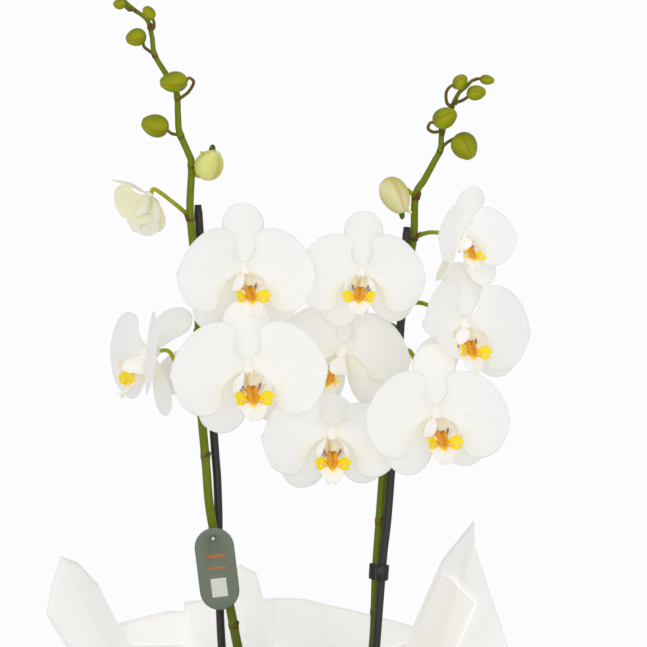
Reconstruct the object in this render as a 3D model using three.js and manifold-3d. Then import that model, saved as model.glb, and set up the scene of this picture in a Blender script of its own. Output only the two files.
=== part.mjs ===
// A white moth orchid with two flower spikes. It grows in bark in a plain pot, which stands in a sheet of
// paper and an outer sheet of fleece, both gathered by a band. Millimetres, +Z up, seen from -Y.
// The origin is the middle of the flat underside that the plant stands on.

import * as THREE from 'three';
import { mergeVertices } from 'three/addons/utils/BufferGeometryUtils.js';
import Module from 'manifold-3d';

const wasm = await Module();
wasm.setup();

// ---- Driving dimensions -----------------------------------------------------------------------

// Pot: a thin tapered pot with a rolled rim, and the bark that fills it.
const POT_FOOT = 2.6;
const POT_HEIGHT = 112;
const POT_FOOT_RADIUS = 46;
const POT_RIM_RADIUS = 64;
const POT_WALL = 2.2;
const BARK_LEVEL = 101;
const BARK_CHUNKS = 10;
const SLIP = 0.35;

// Leaves: where each leaves the crown, which way it points, its size, its slope at the base and tip.
const LEAVES = [
  { name: 'leaf_1', azimuth: 240, foot: [11.4, 118], length: 150, width: 62, rise: 80, drop: 26, roll: 4 },
  { name: 'leaf_2', azimuth: 60, foot: [11.4, 118], length: 108, width: 50, rise: 80, drop: 26, roll: -4 },
  { name: 'leaf_3', azimuth: 120, foot: [11.4, 118], length: 112, width: 50, rise: 82, drop: 22, roll: -4 },
  { name: 'leaf_4', azimuth: 303, foot: [11.4, 118], length: 138, width: 58, rise: 76, drop: 32, roll: 4 },
  { name: 'leaf_5', azimuth: 271, foot: [10.4, 127], length: 62, width: 24, rise: 88, drop: -52, roll: 0 },
  { name: 'leaf_6', azimuth: 92, foot: [10.4, 127], length: 50, width: 20, rise: 88, drop: -56, roll: 0 },
];
const LEAF_THICKNESS = 1.8;

// Petal and sepal outlines of a flower of size 1: distance out from the centre, then height across.
const PETAL_UPPER_EDGE = [
  [3, 2.5], [3, 6.5], [6.6, 12], [7.4, 17], [9.4, 22.2], [16.5, 26.2], [26, 26.4], [35.5, 20.8], [44.5, 9.6],
  [48, -3],
];
const PETAL_LOWER_EDGE = [
  [3, -2.5], [9.5, -5.4], [15.5, -11.7], [19, -19], [21.5, -25.5], [28, -28.2], [35, -26.8], [41.5, -21.4],
  [46, -12.5], [48, -3],
];
const SEPAL_EDGE = [[2.5, 2.6], [8, 5], [15, 9.6], [23, 13.4], [32, 14.2], [39, 11.4], [43.5, 6.4], [45, 0]];
const TEPAL_THICKNESS = 0.8;
const TEPAL_REACH = 48;

// Flowers: place of the centre, then yaw (to the right), pitch (down) and roll (clockwise) in degrees.
// cup is how far the left and right petals lean forward, curl how far their upper half bends back and
// dip the lower half. lean is how far the dorsal, left and right sepals lean back, twist how far each
// is turned on its own line, splay how far the last two stand apart. bow is the further bend to the
// front along the two petals and the three sepals.
const FLOWERS = [
  { name: 'a', at: [-36.2, -46, 441.8], turn: [13, 4, 0], size: 0.98, reach: [1, 1.06, 1.06],
    splay: [35, 48] },
  { name: 'b', at: [-33.0, -64, 378.6], turn: [6, 4, -1], size: 1.08, lean: [10, 8, 24],
    reach: [0.92, 1, 1], splay: [31, 40] },
  { name: 'c', at: [-99, -14, 388], turn: [-64, 4, 0], size: 0.97, cup: [12, 28], lean: [42, -14, 3],
    reach: [0.88, 1, 1], splay: [53, 14] },
  { name: 'd', at: [-101, -8, 491.5], turn: [-108, 50, 0], size: 0.62, cup: [40, 10], lean: [0, 10, 10],
    bow: [60, 50, 40, 110, 110], splay: [40, 46], lip: 0.74 },
  { name: 'e', at: [41.2, -30, 440.4], turn: [-8, 3, 1], size: 0.915, splay: [35, 46] },
  { name: 'f', at: [29.2, -4, 388.6], turn: [-22, 10, 3], size: 0.97, cup: [14, -4], lean: [30, 6, -4] },
  { name: 'g', at: [20.9, -51, 335.8], turn: [5, 10, 2], size: 0.97, cup: [10, 10], curl: [22, 48],
    lean: [50, 2, 2], reach: [0.8, 1, 1], splay: [36, 48] },
  { name: 'h', at: [87.3, -66, 349.3], turn: [9, 5, 0], size: 1.005, lean: [8, 0, 6], splay: [32, 46] },
  { name: 'i', at: [106.8, -46, 406.5], turn: [15, 4, 6], size: 0.99, cup: [12, -3], dip: [-40, 0],
    lean: [24, 6, 6], bow: [50, 0, 0, 0, 0], reach: [1, 1, 1.08], splay: [30, 56] },
  { name: 'j', at: [105.7, -46, 465], turn: [20, 4, 3], size: 0.77, cup: [43, 38], lean: [-28, 0, -5],
    reach: [1, 1, 1.1], splay: [22, 36], twist: [0, -84, 0], narrow: 0.88 },
  { name: 'k', at: [-62, 36, 374], turn: [-150, 0, 0], size: 0.8, lean: [25, 12, 12], splay: [20, 20],
    narrow: 0.7 },
];
const USUAL_FLOWER = {
  cup: [13, 13], curl: [0, 0], dip: [0, 0], lean: [6, 6, 6], bow: [0, 0, 0, 0, 0], reach: [1, 1, 1],
  splay: [35, 40], twist: [0, 0, 0], narrow: 1, lip: 1,
};
const HUB_BACK = 4.6;

// Flower spikes: the stem's line from the crown up, its radius at the foot and the tip.
const SPIKE_LEFT_LINE = [
  [-16.4, 2, 110], [-23, 1, 128], [-34, 0, 160], [-41.6, 0, 190], [-46.3, 0, 214], [-53.7, 1, 248],
  [-60.4, 2, 282], [-63.2, 3, 313], [-66.9, 4, 356], [-68, 5, 396], [-69, 5, 430], [-73.2, 3, 473],
  [-73.8, 2, 488], [-72.7, 0, 513], [-75, -1, 521.5], [-80.6, -3, 535], [-81.5, -5, 547], [-82.4, -7, 561],
  [-89.1, -8, 573], [-96.7, -10, 586], [-98.4, -12, 598], [-101.4, -14, 608.5], [-110.7, -15, 615.7],
  [-117, -16, 622], [-121.5, -17, 629],
];
const SPIKE_RIGHT_LINE = [
  [16.6, 1, 111], [28, 1, 126], [41, 0, 152], [48.9, 0, 190], [50.9, 0, 236], [52.9, 1, 268], [57.7, 3, 329],
  [65.7, 4, 393], [73.1, 3, 446], [76.3, 2, 467], [77.4, 1, 492.5], [83.4, 0, 503.5], [90, -2, 515.7],
  [93.9, -3, 523.3], [94.8, -4, 534], [98.6, -7, 544.5], [105.1, -10, 559.3], [110.5, -11, 564.5],
  [114.5, -12, 568.6],
];
const STEM_FOOT_RADIUS = 3.3;
const STEM_TIP_RADIUS = 1.1;
const PEDICEL_RADIUS = 1.55;

// Flower stalks: the height on the stem where each leaves it, and its first push sideways and forward.
const PEDICELS_LEFT = [
  { flower: 'd', from: 478, push: [-9, -2, 8], neck: 4 },
  { flower: 'a', from: 452, push: [10, -12, 6] },
  { flower: 'b', from: 424, push: [14, -12, 4] },
  { flower: 'k', from: 398, push: [-2, 9, 3] },
  { flower: 'c', from: 366, push: [-12, -5, 7] },
];
const PEDICELS_RIGHT = [
  { flower: 'j', from: 465, push: [12, -4, 3] },
  { flower: 'e', from: 444, push: [-10, 2, 6] },
  { flower: 'i', from: 420, push: [14, -8, 0] },
  { flower: 'f', from: 402, push: [-10, -6, 4] },
  { flower: 'h', from: 384, push: [10, -12, 3] },
  { flower: 'g', from: 337, push: [-10, -8, 3] },
];

// Buds: centre, radius, length, the way its nose points, and the curled stalk back to the stem.
const BUDS_LEFT = [
  { at: [-96.3, -8, 538.9], radius: 8, length: 18, nose: [-1, -0.2, 0.25],
    stalk: [[-80.8, -3, 533], [-86, -5, 534]] },
  { at: [-83, -22, 566.6], radius: 7.2, length: 18, nose: [-1, -0.3, -0.1],
    stalk: [[-82, -6, 556], [-74.5, -9, 561], [-70.5, -14, 567], [-73, -19, 569.5]] },
  { at: [-108.6, -14, 597.1], radius: 6.1, length: 13.4, nose: [-1, -0.3, -0.3],
    stalk: [[-96, -10, 585.5], [-100.5, -11, 588.5], [-104, -12, 592]] },
  { at: [-99.6, -22, 612], radius: 4.3, length: 9.8, nose: [-0.5, -0.4, 0.8],
    stalk: [[-99.8, -13, 604], [-97, -17, 602.5], [-96.4, -20, 606]] },
  { at: [-119.1, -24, 617.6], radius: 3.5, length: 8, nose: [-0.8, -0.6, 0],
    stalk: [[-110.7, -15, 615.7], [-113, -19, 614.5]] },
  { at: [-127.4, -17, 629.5], radius: 2.7, length: 6.4, nose: [-1, 0, 0.5],
    stalk: [[-119.5, -16.5, 626], [-123, -17, 627]] },
  { at: [-121.8, -18, 634], radius: 2.6, length: 6.6, nose: [0, 0, 1],
    stalk: [[-121, -17, 628], [-121.5, -17.4, 631]] },
];
const BUDS_RIGHT = [
  { at: [109.6, -9, 525.3], radius: 9, length: 18.5, nose: [0.5, -0.3, -0.9],
    stalk: [[94, -3, 524], [98.5, -4, 528], [103, -6, 530.5]] },
  { at: [95.9, -18, 543.1], radius: 7.2, length: 16.4, nose: [1, -0.3, 0.5],
    stalk: [[94.6, -5, 535.5], [89, -9, 534.5], [85.2, -13, 536.5], [86.5, -16.5, 540]] },
  { at: [106.2, -18, 566.9], radius: 5, length: 10.6, nose: [0.6, -0.3, 0.7],
    stalk: [[101, -8.5, 551], [97.6, -13, 554], [97.2, -16, 560.5], [100.5, -17.5, 564.5]] },
  { at: [116.6, -20, 559.6], radius: 5.2, length: 12.4, nose: [1, -0.3, 0.1],
    stalk: [[103.5, -9, 554], [107.5, -14, 555], [111, -18, 557]] },
  { at: [124.2, -14, 568.8], radius: 3.4, length: 9.6, nose: [1, 0, -0.15],
    stalk: [[114.5, -12, 568.4], [118, -13, 569.6]] },
];
const PALE_STALK_LEFT = [[-73.2, 0.5, 511], [-70, 1.5, 507], [-67, 2, 505.5]];
const PALE_STALK_RIGHT = [[77, 1, 492], [71.5, 3, 497], [67, 1.2, 497.4]];
const PALE_BUDS = [
  { name: 'bud_pale_left', at: [-60.4, -8, 512.6], radius: 9.9, length: 21, nose: [0.1, -0.45, 0.9],
    look: { color: 0xd6dc96, roughness: 0.5 } },
  { name: 'bud_pale_right', at: [63.2, -10, 492.5], radius: 9.9, length: 26, nose: [0.3, -0.35, -0.9],
    look: { color: 0xdcd8a8, roughness: 0.5 } },
];

// Stakes, the clip that holds a stem to its stake, and the hang tag.
const STAKE_RADIUS = 2.8;
const STAKE_FOOT = 34;
const STAKE_LEFT_LINE = [
  [-40, 8, STAKE_FOOT], [-52.9, 9, 190], [-55.4, 9.5, 290], [-58.4, 10, 335], [-67.6, 10, 487],
];
const STAKE_RIGHT_LINE = [
  [38.5, -7, STAKE_FOOT], [50.7, -6.5, 190], [55.4, -6, 250], [60.1, -5, 297.5], [71.5, -3.6, 471.5],
];
const CLIP_HEIGHT = 10.5;
const CLIP_WALL = 1.7;
const CLIP_LEFT_LEVEL = 262;
const CLIP_RIGHT_LEVEL = 241;
const TAG_WIDTH = 26.4;
const TAG_HEIGHT = 55;
const TAG_THICKNESS = 0.8;
const TAG_HOLE = 1.1;
const TAG_TILT = 7;
const TAG_HOLE_RISE = (TAG_HEIGHT - TAG_WIDTH) / 2 + 6;
const TAG_CENTRE = [-55.2, -9, 243.6];
const THREAD_RADIUS = 0.5;

// Wrap: the sheets go up the pot, are gathered by the band and flare to a rim with pointed corners.
// Each rim point is the azimuth in degrees (0 at +X, 90 at the back), its radius and its height.
const PAPER_RIM = [
  [0, 150, 172], [10, 150, 178], [19, 151, 184], [27.8, 150, 217], [34.8, 149, 250], [37.7, 155, 267],
  [44.8, 142, 239], [49.5, 135, 209], [54.6, 129, 178], [66, 116, 168], [80, 108, 166], [93, 107, 168],
  [100, 108, 176], [107, 112, 229], [112.3, 116, 235], [120.5, 122, 211], [128.4, 134, 208],
  [135, 142, 178], [142.6, 163, 177], [145, 169.5, 191], [147.6, 171, 222], [153, 177, 239],
  [157.4, 182, 244], [162, 181, 228], [167, 179.5, 207.5], [173, 160, 188], [184, 150, 172],
  [196, 146, 164], [214, 144, 160], [232, 140, 164], [248, 136, 160], [264, 138, 164], [280, 136, 160],
  [296, 140, 164], [312, 144, 160], [328, 148, 168], [344, 149, 164],
];
const FLEECE_RIM = [
  [0, 160], [18, 166], [36, 178], [54, 189], [72, 199], [90, 208], [108, 210], [126, 204], [144, 188],
  [162, 168], [180, 160], [198, 156], [216, 153], [234, 152], [252, 150], [270, 151], [288, 152],
  [306, 153], [324, 154], [342, 156],
];
const SHEET_THICKNESS = 0.9;
const SHEET_GAP = 3.8;
const PAPER_FLOOR = 1.4;
const GATHER_LEVEL = 92;
const BAND_HEIGHT = 12;

// Colours, as the object's own.
const WHITE_PETAL = { color: 0xf6f5f1, roughness: 0.55 };
const YELLOW_LIP = { color: 0xf2b705, roughness: 0.45 };
const GREEN_STEM = { color: 0x6c7d1f, roughness: 0.5 };
const GREEN_LEAF = { color: 0x3d6a2a, roughness: 0.4 };
const BROWN_BARK = { color: 0x6b4a33, roughness: 0.9 };
const WHITE_POT = { color: 0xe9e7e2, roughness: 0.45 };
const BLACK_PLASTIC = { color: 0x2d2a2a, roughness: 0.4 };
const GREY_TAG = { color: 0x7f9184, roughness: 0.6 };
const WHITE_THREAD = { color: 0xdedbd0, roughness: 0.8 };
const WHITE_PAPER = { color: 0xf3f1ea, roughness: 0.7 };
const WHITE_FLEECE = { color: 0xf4f3f0, roughness: 0.9 };
const CREAM_BAND = { color: 0xe4ddc8, roughness: 0.6 };
const GREY_GREEN_CROWN = { color: 0x7f8f5a, roughness: 0.6 };

// ---- Small tools for solids -------------------------------------------------------------------

const degrees = THREE.MathUtils.degToRad;
const vector = (point) => new THREE.Vector3(...point);
const FRONT = new THREE.Vector3(0, -1, 0);
const UPRIGHT = new THREE.Vector3(0, 0, 1);

// The volume inside a closed mesh, negative where its faces point inwards.
function signedVolume(geometry) {
  const place = geometry.getAttribute('position');
  const corner = [0, 1, 2].map(() => new THREE.Vector3());
  let total = 0;
  for (let i = 0; i < geometry.index.count; i += 3) {
    corner.forEach((c, k) => c.fromBufferAttribute(place, geometry.index.getX(i + k)));
    total += corner[0].dot(corner[1].clone().cross(corner[2])) / 6;
  }
  return total;
}

// A closed mesh from points and triangles, with its faces turned outwards.
function closedMesh(points, triangles) {
  const geometry = new THREE.BufferGeometry();
  const numbers = points.flatMap((p) => [p.x, p.y, p.z]);
  geometry.setAttribute('position', new THREE.Float32BufferAttribute(numbers, 3));
  geometry.setIndex(triangles.flat());
  if (signedVolume(geometry) < 0) geometry.setIndex(triangles.flatMap(([a, b, c]) => [a, c, b]));
  return geometry;
}

// A three.js geometry as a solid, with its shared vertices merged.
function solid(geometry) {
  const bare = geometry.clone();
  bare.deleteAttribute('normal');
  bare.deleteAttribute('uv');
  const merged = mergeVertices(bare, 1e-4);
  const vertProperties = new Float32Array(merged.getAttribute('position').array);
  const triVerts = new Uint32Array(merged.index.array);
  return new wasm.Manifold(new wasm.Mesh({ numProp: 3, vertProperties, triVerts }));
}

// A solid as a three.js geometry.
function geometryOf(body) {
  const mesh = body.getMesh();
  const geometry = new THREE.BufferGeometry();
  geometry.setAttribute('position', new THREE.Float32BufferAttribute(mesh.vertProperties, 3));
  geometry.setIndex(Array.from(mesh.triVerts));
  return geometry;
}

const fuse = (geometries) => geometryOf(geometries.map(solid).reduce((whole, piece) => whole.add(piece)));

function namedMesh(name, geometry, look) {
  const mesh = new THREE.Mesh(geometry, new THREE.MeshStandardMaterial({ metalness: 0, ...look }));
  mesh.name = name;
  return mesh;
}

// A ball stretched to three half-sizes, with its long axis turned to point along a direction.
function ball(centre, half, along = [0, 0, 1], around = 8, layers = 6) {
  const geometry = new THREE.SphereGeometry(1, around, layers).rotateX(Math.PI / 2).scale(...half);
  const turn = new THREE.Quaternion().setFromUnitVectors(UPRIGHT, vector(along).normalize());
  return geometry.applyQuaternion(turn).translate(...centre);
}

// A tube along a smooth line through the given points, with a number of rings for each stretch
// between two of them. radius(t) is its half-width at t from 0 to 1 along the line.
function taperedTube(line, radius, sides, ringsPerStretch) {
  const curve = new THREE.CatmullRomCurve3(line.map(vector), false, 'catmullrom', 0.5);
  const rings = (line.length - 1) * ringsPerStretch;
  const points = [];
  const triangles = [];
  let side = new THREE.Vector3(0.28, 0.96, 0.02);
  for (let i = 0; i <= rings; i++) {
    const t = i / rings;
    const middle = curve.getPoint(t);
    const along = curve.getTangent(t);
    side = side.clone().addScaledVector(along, -side.dot(along)).normalize();
    const other = along.clone().cross(side);
    for (let j = 0; j < sides; j++) {
      const angle = (2 * Math.PI * j) / sides;
      const spoke = side.clone().multiplyScalar(Math.cos(angle)).addScaledVector(other, Math.sin(angle));
      points.push(middle.clone().addScaledVector(spoke, radius(t)));
    }
  }
  const corner = (i, j) => i * sides + (j % sides);
  for (let i = 0; i < rings; i++) {
    for (let j = 0; j < sides; j++) {
      triangles.push([corner(i, j), corner(i, j + 1), corner(i + 1, j + 1)]);
      triangles.push([corner(i, j), corner(i + 1, j + 1), corner(i + 1, j)]);
    }
  }
  for (let j = 1; j < sides - 1; j++) {
    triangles.push([corner(0, 0), corner(0, j + 1), corner(0, j)]);
    triangles.push([corner(rings, 0), corner(rings, j), corner(rings, j + 1)]);
  }
  return closedMesh(points, triangles);
}

// A thin blade. surface(u, v) gives its face, u from base to tip and v from -1 to 1 across; all of
// u = 1 is one tip point. The back face is the front one moved by the depth vector, split alike.
function bladeSolid(surface, rows, columns, depth) {
  const points = [];
  const grid = (i, j) => i * (columns + 1) + j;
  for (let i = 0; i < rows; i++) {
    for (let j = 0; j <= columns; j++) points.push(surface(i / rows, (2 * j) / columns - 1));
  }
  const tip = points.push(surface(1, 0)) - 1;
  const back = points.length;
  points.push(...points.map((p) => p.clone().add(depth)));
  const triangles = [];
  const addBoth = (a, b, c) => triangles.push([a, b, c], [back + a, back + c, back + b]);
  const addEdge = (a, b) => triangles.push([b, a, back + a], [b, back + a, back + b]);
  for (let j = 0; j < columns; j++) {
    for (let i = 0; i < rows - 1; i++) {
      addBoth(grid(i, j), grid(i + 1, j), grid(i + 1, j + 1));
      addBoth(grid(i, j), grid(i + 1, j + 1), grid(i, j + 1));
    }
    addBoth(grid(rows - 1, j), tip, grid(rows - 1, j + 1));
    addEdge(grid(0, j + 1), grid(0, j));
  }
  for (let i = 0; i < rows - 1; i++) {
    addEdge(grid(i, 0), grid(i + 1, 0));
    addEdge(grid(i + 1, columns), grid(i, columns));
  }
  addEdge(grid(rows - 1, 0), tip);
  addEdge(tip, grid(rows - 1, columns));
  return closedMesh(points, triangles);
}

// ---- Flowers ----------------------------------------------------------------------------------

const splineThrough = (points) => new THREE.SplineCurve(points.map(([x, y]) => new THREE.Vector2(x, y)));
const petalUpper = splineThrough(PETAL_UPPER_EDGE);
const petalLower = splineThrough(PETAL_LOWER_EDGE);
const sepalEdge = splineThrough(SEPAL_EDGE);

// Places a point of a tepal that points along an angle in the flower's plane: s along its line,
// w across and h up from its face. The line starts with a tilt to the front and bends on by bow.
function tepalPlace(angle, across, tilt, bow, twist) {
  const flat = new THREE.Vector3(Math.cos(angle), 0, Math.sin(angle));
  const rate = bow / TEPAL_REACH;
  return (s, w, h) => {
    const turned = tilt + rate * s;
    const reach = rate ? (Math.sin(turned) - Math.sin(tilt)) / rate : s * Math.cos(tilt);
    const ahead = rate ? (Math.cos(tilt) - Math.cos(turned)) / rate : s * Math.sin(tilt);
    const out = flat.clone().multiplyScalar(Math.cos(turned)).addScaledVector(FRONT, Math.sin(turned));
    const face = FRONT.clone().multiplyScalar(Math.cos(turned)).addScaledVector(flat, -Math.sin(turned));
    const place = flat.clone().multiplyScalar(reach).addScaledVector(FRONT, ahead);
    place.addScaledVector(across.clone().applyAxisAngle(out, twist), w);
    return place.addScaledVector(face.applyAxisAngle(out, twist), h);
  };
}

// The way a tepal faces in the middle of its length.
const tepalFace = (place) => place(TEPAL_REACH / 2, 0, 1).sub(place(TEPAL_REACH / 2, 0, 0));

// A petal: rows run from the lower edge over the midrib to the upper edge. It arches towards the
// front along its length, falls back to its edges and has a shallow groove along the midrib. Its
// upper and lower halves may bend back by an angle of their own.
function petal(side, cup, bow, curl, dip, { size, narrow }) {
  const place = tepalPlace(side > 0 ? 0 : Math.PI, UPRIGHT, degrees(cup), degrees(bow), 0);
  const surface = (u, v) => {
    const edge = (v > 0 ? petalUpper : petalLower).getPoint(u);
    const rib = [3 + 45 * u, -3 * u];
    const s = THREE.MathUtils.lerp(rib[0], edge.x, Math.abs(v));
    const across = THREE.MathUtils.lerp(rib[1], edge.y, Math.abs(v)) * narrow;
    const bend = degrees(v > 0 ? curl : dip) * Math.min(1, Math.abs(across) / 12);
    const arch = 3.4 * Math.sin(Math.PI * Math.pow(u, 0.8));
    const h = 1.4 + arch * (1 - 0.55 * v * v) - 0.5 * (1 - Math.abs(v)) * Math.sin(Math.PI * u);
    return place(s, across * Math.cos(bend), h - Math.abs(across) * Math.sin(bend)).multiplyScalar(size);
  };
  return bladeSolid(surface, 5, 4, tepalFace(place).multiplyScalar(-TEPAL_THICKNESS));
}

// A sepal: a long oval behind the petals, keeled along its middle.
function sepal(angle, lean, bow, reach, twist, { size, narrow }) {
  const across = new THREE.Vector3(-Math.sin(angle), 0, Math.cos(angle));
  const place = tepalPlace(angle, across, -degrees(lean), degrees(bow), degrees(twist));
  const surface = (u, v) => {
    const edge = sepalEdge.getPoint(u);
    const h = -1.2 + 2.2 * Math.sin(Math.PI * u) * (1 - v * v) - 1.4 * u;
    return place(edge.x * reach, edge.y * v * narrow, h).multiplyScalar(size);
  };
  return bladeSolid(surface, 5, 2, tepalFace(place).multiplyScalar(-TEPAL_THICKNESS));
}

// The column: a short thick finger that bends forward and down over the lip.
function column(size) {
  const middle = [[0, 1, 0.5], [0, -3.5, -0.6], [0, -7, -3.4], [0, -8.4, -6.4]];
  const line = middle.map((point) => point.map((c) => c * size));
  return taperedTube(line, (t) => size * (2.6 + 0.9 * Math.sin(Math.PI * t) - 0.7 * t), 5, 1);
}

// A side lobe of the lip: an upright wall that swings out from the base, forward, and in to a point.
function lipEar(size, side) {
  const plan = splineThrough([[1.2, -3], [9.2, -8.6], [11.6, -14.4], [10.2, -19.6], [6.8, -22.4]]);
  const surface = (u, v) => {
    const swing = Math.sin(Math.PI * u);
    const { x, y } = plan.getPoint(u);
    const top = -5.8 + 1.4 * swing - 2.4 * u * u;
    const drop = 7.6 * (1 - u * u) * (v + 1) * 0.5;
    return new THREE.Vector3(side * x, y, top - drop).multiplyScalar(size);
  };
  return bladeSolid(surface, 3, 1, new THREE.Vector3(side * 1.1, 0, 0));
}

// The middle lobe of the lip: an arrowhead that runs forward and down to a point.
function lipTongue(size) {
  const halfWidth = splineThrough([[0, 2.6], [0.3, 3.6], [0.5, 8.2], [0.7, 5.4], [0.9, 2.6], [1, 0]]);
  const surface = (u, v) => {
    const edge = halfWidth.getPoint(u);
    const z = -2.2 - 29.4 * edge.x;
    const y = -0.6 - 24.8 * edge.x - 1.6 * edge.x * edge.x - 1.1 * v * v;
    return new THREE.Vector3(edge.y * v, y, z).multiplyScalar(size);
  };
  return bladeSolid(surface, 4, 2, new THREE.Vector3(0, 1.1, 0));
}

// The white of a flower: five tepals, hub, column and lip, grown as one.
function flowerWhite(spec) {
  const { size, cup, bow, curl, dip, lean, reach, twist, lip } = spec;
  const splay = spec.splay.map(degrees);
  const sepalAngles = [Math.PI / 2, -Math.PI / 2 - splay[0], -Math.PI / 2 + splay[1]];
  const parts = [
    ball([0, 1.2 * size, 0], [4.8 * size, 5.2 * size, 3.6 * size], [0, 1, 0], 6, 3),
    petal(-1, cup[0], bow[0], curl[0], dip[0], spec),
    petal(1, cup[1], bow[1], curl[1], dip[1], spec),
    ...sepalAngles.map((angle, k) => sepal(angle, lean[k], bow[k + 2], reach[k], twist[k], spec)),
    column(size),
    lipEar(size * lip, -1),
    lipEar(size * lip, 1),
    lipTongue(size * lip),
  ];
  return fuse(parts);
}

// The yellow of the lip: a raised callus with a pointed end, and a wing on each side.
function flowerYellow({ size, lip }) {
  const at = (point) => point.map((c) => c * size * lip);
  const parts = [
    ball(at([0, -15.6, -15.8]), at([3.6, 1.7, 8]), [0, 0.66, 0.75], 6, 4),
    ball(at([-5.8, -17.6, -17.2]), at([3.2, 1.5, 4.8]), [-1, 0, 0.12], 5, 3),
    ball(at([5.8, -17.6, -17.2]), at([3.2, 1.5, 4.8]), [1, 0, 0.12], 5, 3),
  ];
  return fuse(parts);
}

function flower(spec) {
  const group = new THREE.Group();
  group.position.set(...spec.at);
  group.rotation.set(degrees(spec.turn[1]), degrees(spec.turn[2]), degrees(spec.turn[0]), 'ZXY');
  group.add(namedMesh(`bloom_${spec.name}`, flowerWhite(spec), WHITE_PETAL));
  group.add(namedMesh(`lip_${spec.name}`, flowerYellow(spec), YELLOW_LIP));
  group.updateMatrixWorld(true);
  return group;
}

// ---- Spikes -----------------------------------------------------------------------------------

const heightOn = (line, level) => {
  const k = line.findIndex((point) => point[2] >= level);
  const t = (level - line[k - 1][2]) / (line[k][2] - line[k - 1][2]);
  return vector(line[k - 1]).lerp(vector(line[k]), t);
};

// A flower stalk from the stem to just behind the flower's hub.
function pedicel(line, { flower: name, from, push, neck = 9 }, flowers) {
  const group = flowers[name];
  const { size } = FLOWERS.find((spec) => spec.name === name);
  const root = heightOn(line, from);
  const end = group.localToWorld(new THREE.Vector3(0, HUB_BACK * size + 1.2 * size + SLIP, 0));
  const before = group.localToWorld(new THREE.Vector3(0, HUB_BACK * size + neck, -1));
  const route = [root, root.clone().add(vector(push)), before, end].map((p) => p.toArray());
  return taperedTube(route, (t) => PEDICEL_RADIUS - 0.25 * t + 0.8 * Math.exp(-t * 14), 4, 2);
}

// A closed bud: an egg with a slight nose, on a stalk that may curl.
function bud({ at, radius, length, nose }) {
  const profile = [[0, -0.5], [0.8, -0.34], [1, 0], [0.66, 0.36], [0, 0.53]];
  const egg = new THREE.LatheGeometry(profile.map(([r, z]) => new THREE.Vector2(r * radius, z * length)), 7);
  egg.rotateX(Math.PI / 2);
  const turn = new THREE.Quaternion().setFromUnitVectors(UPRIGHT, vector(nose).normalize());
  return egg.applyQuaternion(turn).translate(...at);
}

function budStalk({ at, length, nose, stalk }) {
  const back = vector(at).addScaledVector(vector(nose).normalize(), -0.36 * length);
  return taperedTube([...stalk, back.toArray()], (t) => 1.25 - 0.2 * t, 4, 1);
}

function spike(name, line, pedicels, buds, paleStalk, flowers) {
  const radius = (t) => THREE.MathUtils.lerp(STEM_FOOT_RADIUS, STEM_TIP_RADIUS, Math.pow(t, 1.6));
  const parts = [taperedTube(line, radius, 6, 1)];
  parts.push(...pedicels.map((spec) => pedicel(line, spec, flowers)));
  parts.push(...buds.flatMap((spec) => [budStalk(spec), bud(spec)]));
  parts.push(taperedTube(paleStalk, (t) => 1.7 - 0.4 * t, 5, 1));
  return namedMesh(name, fuse(parts), GREEN_STEM);
}

// ---- Stakes, clips and tag --------------------------------------------------------------------

const stakeTube = (line, extra) => taperedTube(line, () => STAKE_RADIUS + extra, 8, 1);

// A clip: a collar round stem and stake with a small finger tab.
function clip(name, level, stemLine, stakeLine) {
  const stem = heightOn(stemLine, level);
  const stake = heightOn(stakeLine, level);
  const collar = (centre, radius) => {
    const ring = new THREE.CylinderGeometry(radius, radius, CLIP_HEIGHT, 8).rotateX(Math.PI / 2);
    return ring.translate(...centre.toArray());
  };
  const tabPlace = stem.clone().lerp(stake, 0.5).add(new THREE.Vector3(0, -6.4, 0.6));
  const tab = new THREE.BoxGeometry(3, 5, 6).translate(...tabPlace.toArray());
  const collars = [collar(stem, STEM_FOOT_RADIUS + CLIP_WALL), collar(stake, STAKE_RADIUS + CLIP_WALL)];
  const body = [...collars, tab].map(solid).reduce((whole, piece) => whole.add(piece));
  const hole = (line, radius) => {
    const along = heightOn(line, level + 8).sub(heightOn(line, level - 8));
    const reach = along.clone().multiplyScalar(0.8);
    const middle = heightOn(line, level);
    const ends = [middle.clone().sub(reach), middle.clone().add(reach)].map((p) => p.toArray());
    return solid(taperedTube(ends, () => radius, 8, 1));
  };
  const forStem = hole(stemLine, STEM_FOOT_RADIUS + SLIP);
  const forStake = hole(stakeLine, STAKE_RADIUS + SLIP);
  return namedMesh(name, geometryOf(body.subtract(forStem).subtract(forStake)), BLACK_PLASTIC);
}

// The tag: a flat strip with round ends and a hole near its top.
function tag() {
  const straight = (TAG_HEIGHT - TAG_WIDTH) / 2;
  const outline = new THREE.Shape();
  outline.absarc(0, straight, TAG_WIDTH / 2, 0, Math.PI);
  outline.absarc(0, -straight, TAG_WIDTH / 2, Math.PI, 2 * Math.PI);
  outline.closePath();
  const hole = new THREE.Path();
  hole.absarc(0, TAG_HOLE_RISE, TAG_HOLE, 0, 2 * Math.PI);
  outline.holes.push(hole);
  const settings = { depth: TAG_THICKNESS, bevelEnabled: false, curveSegments: 6 };
  const plate = new THREE.ExtrudeGeometry(outline, settings);
  plate.rotateZ(degrees(TAG_TILT)).rotateX(Math.PI / 2).translate(...TAG_CENTRE);
  return namedMesh('tag', geometryOf(solid(plate)), GREY_TAG);
}

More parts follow.
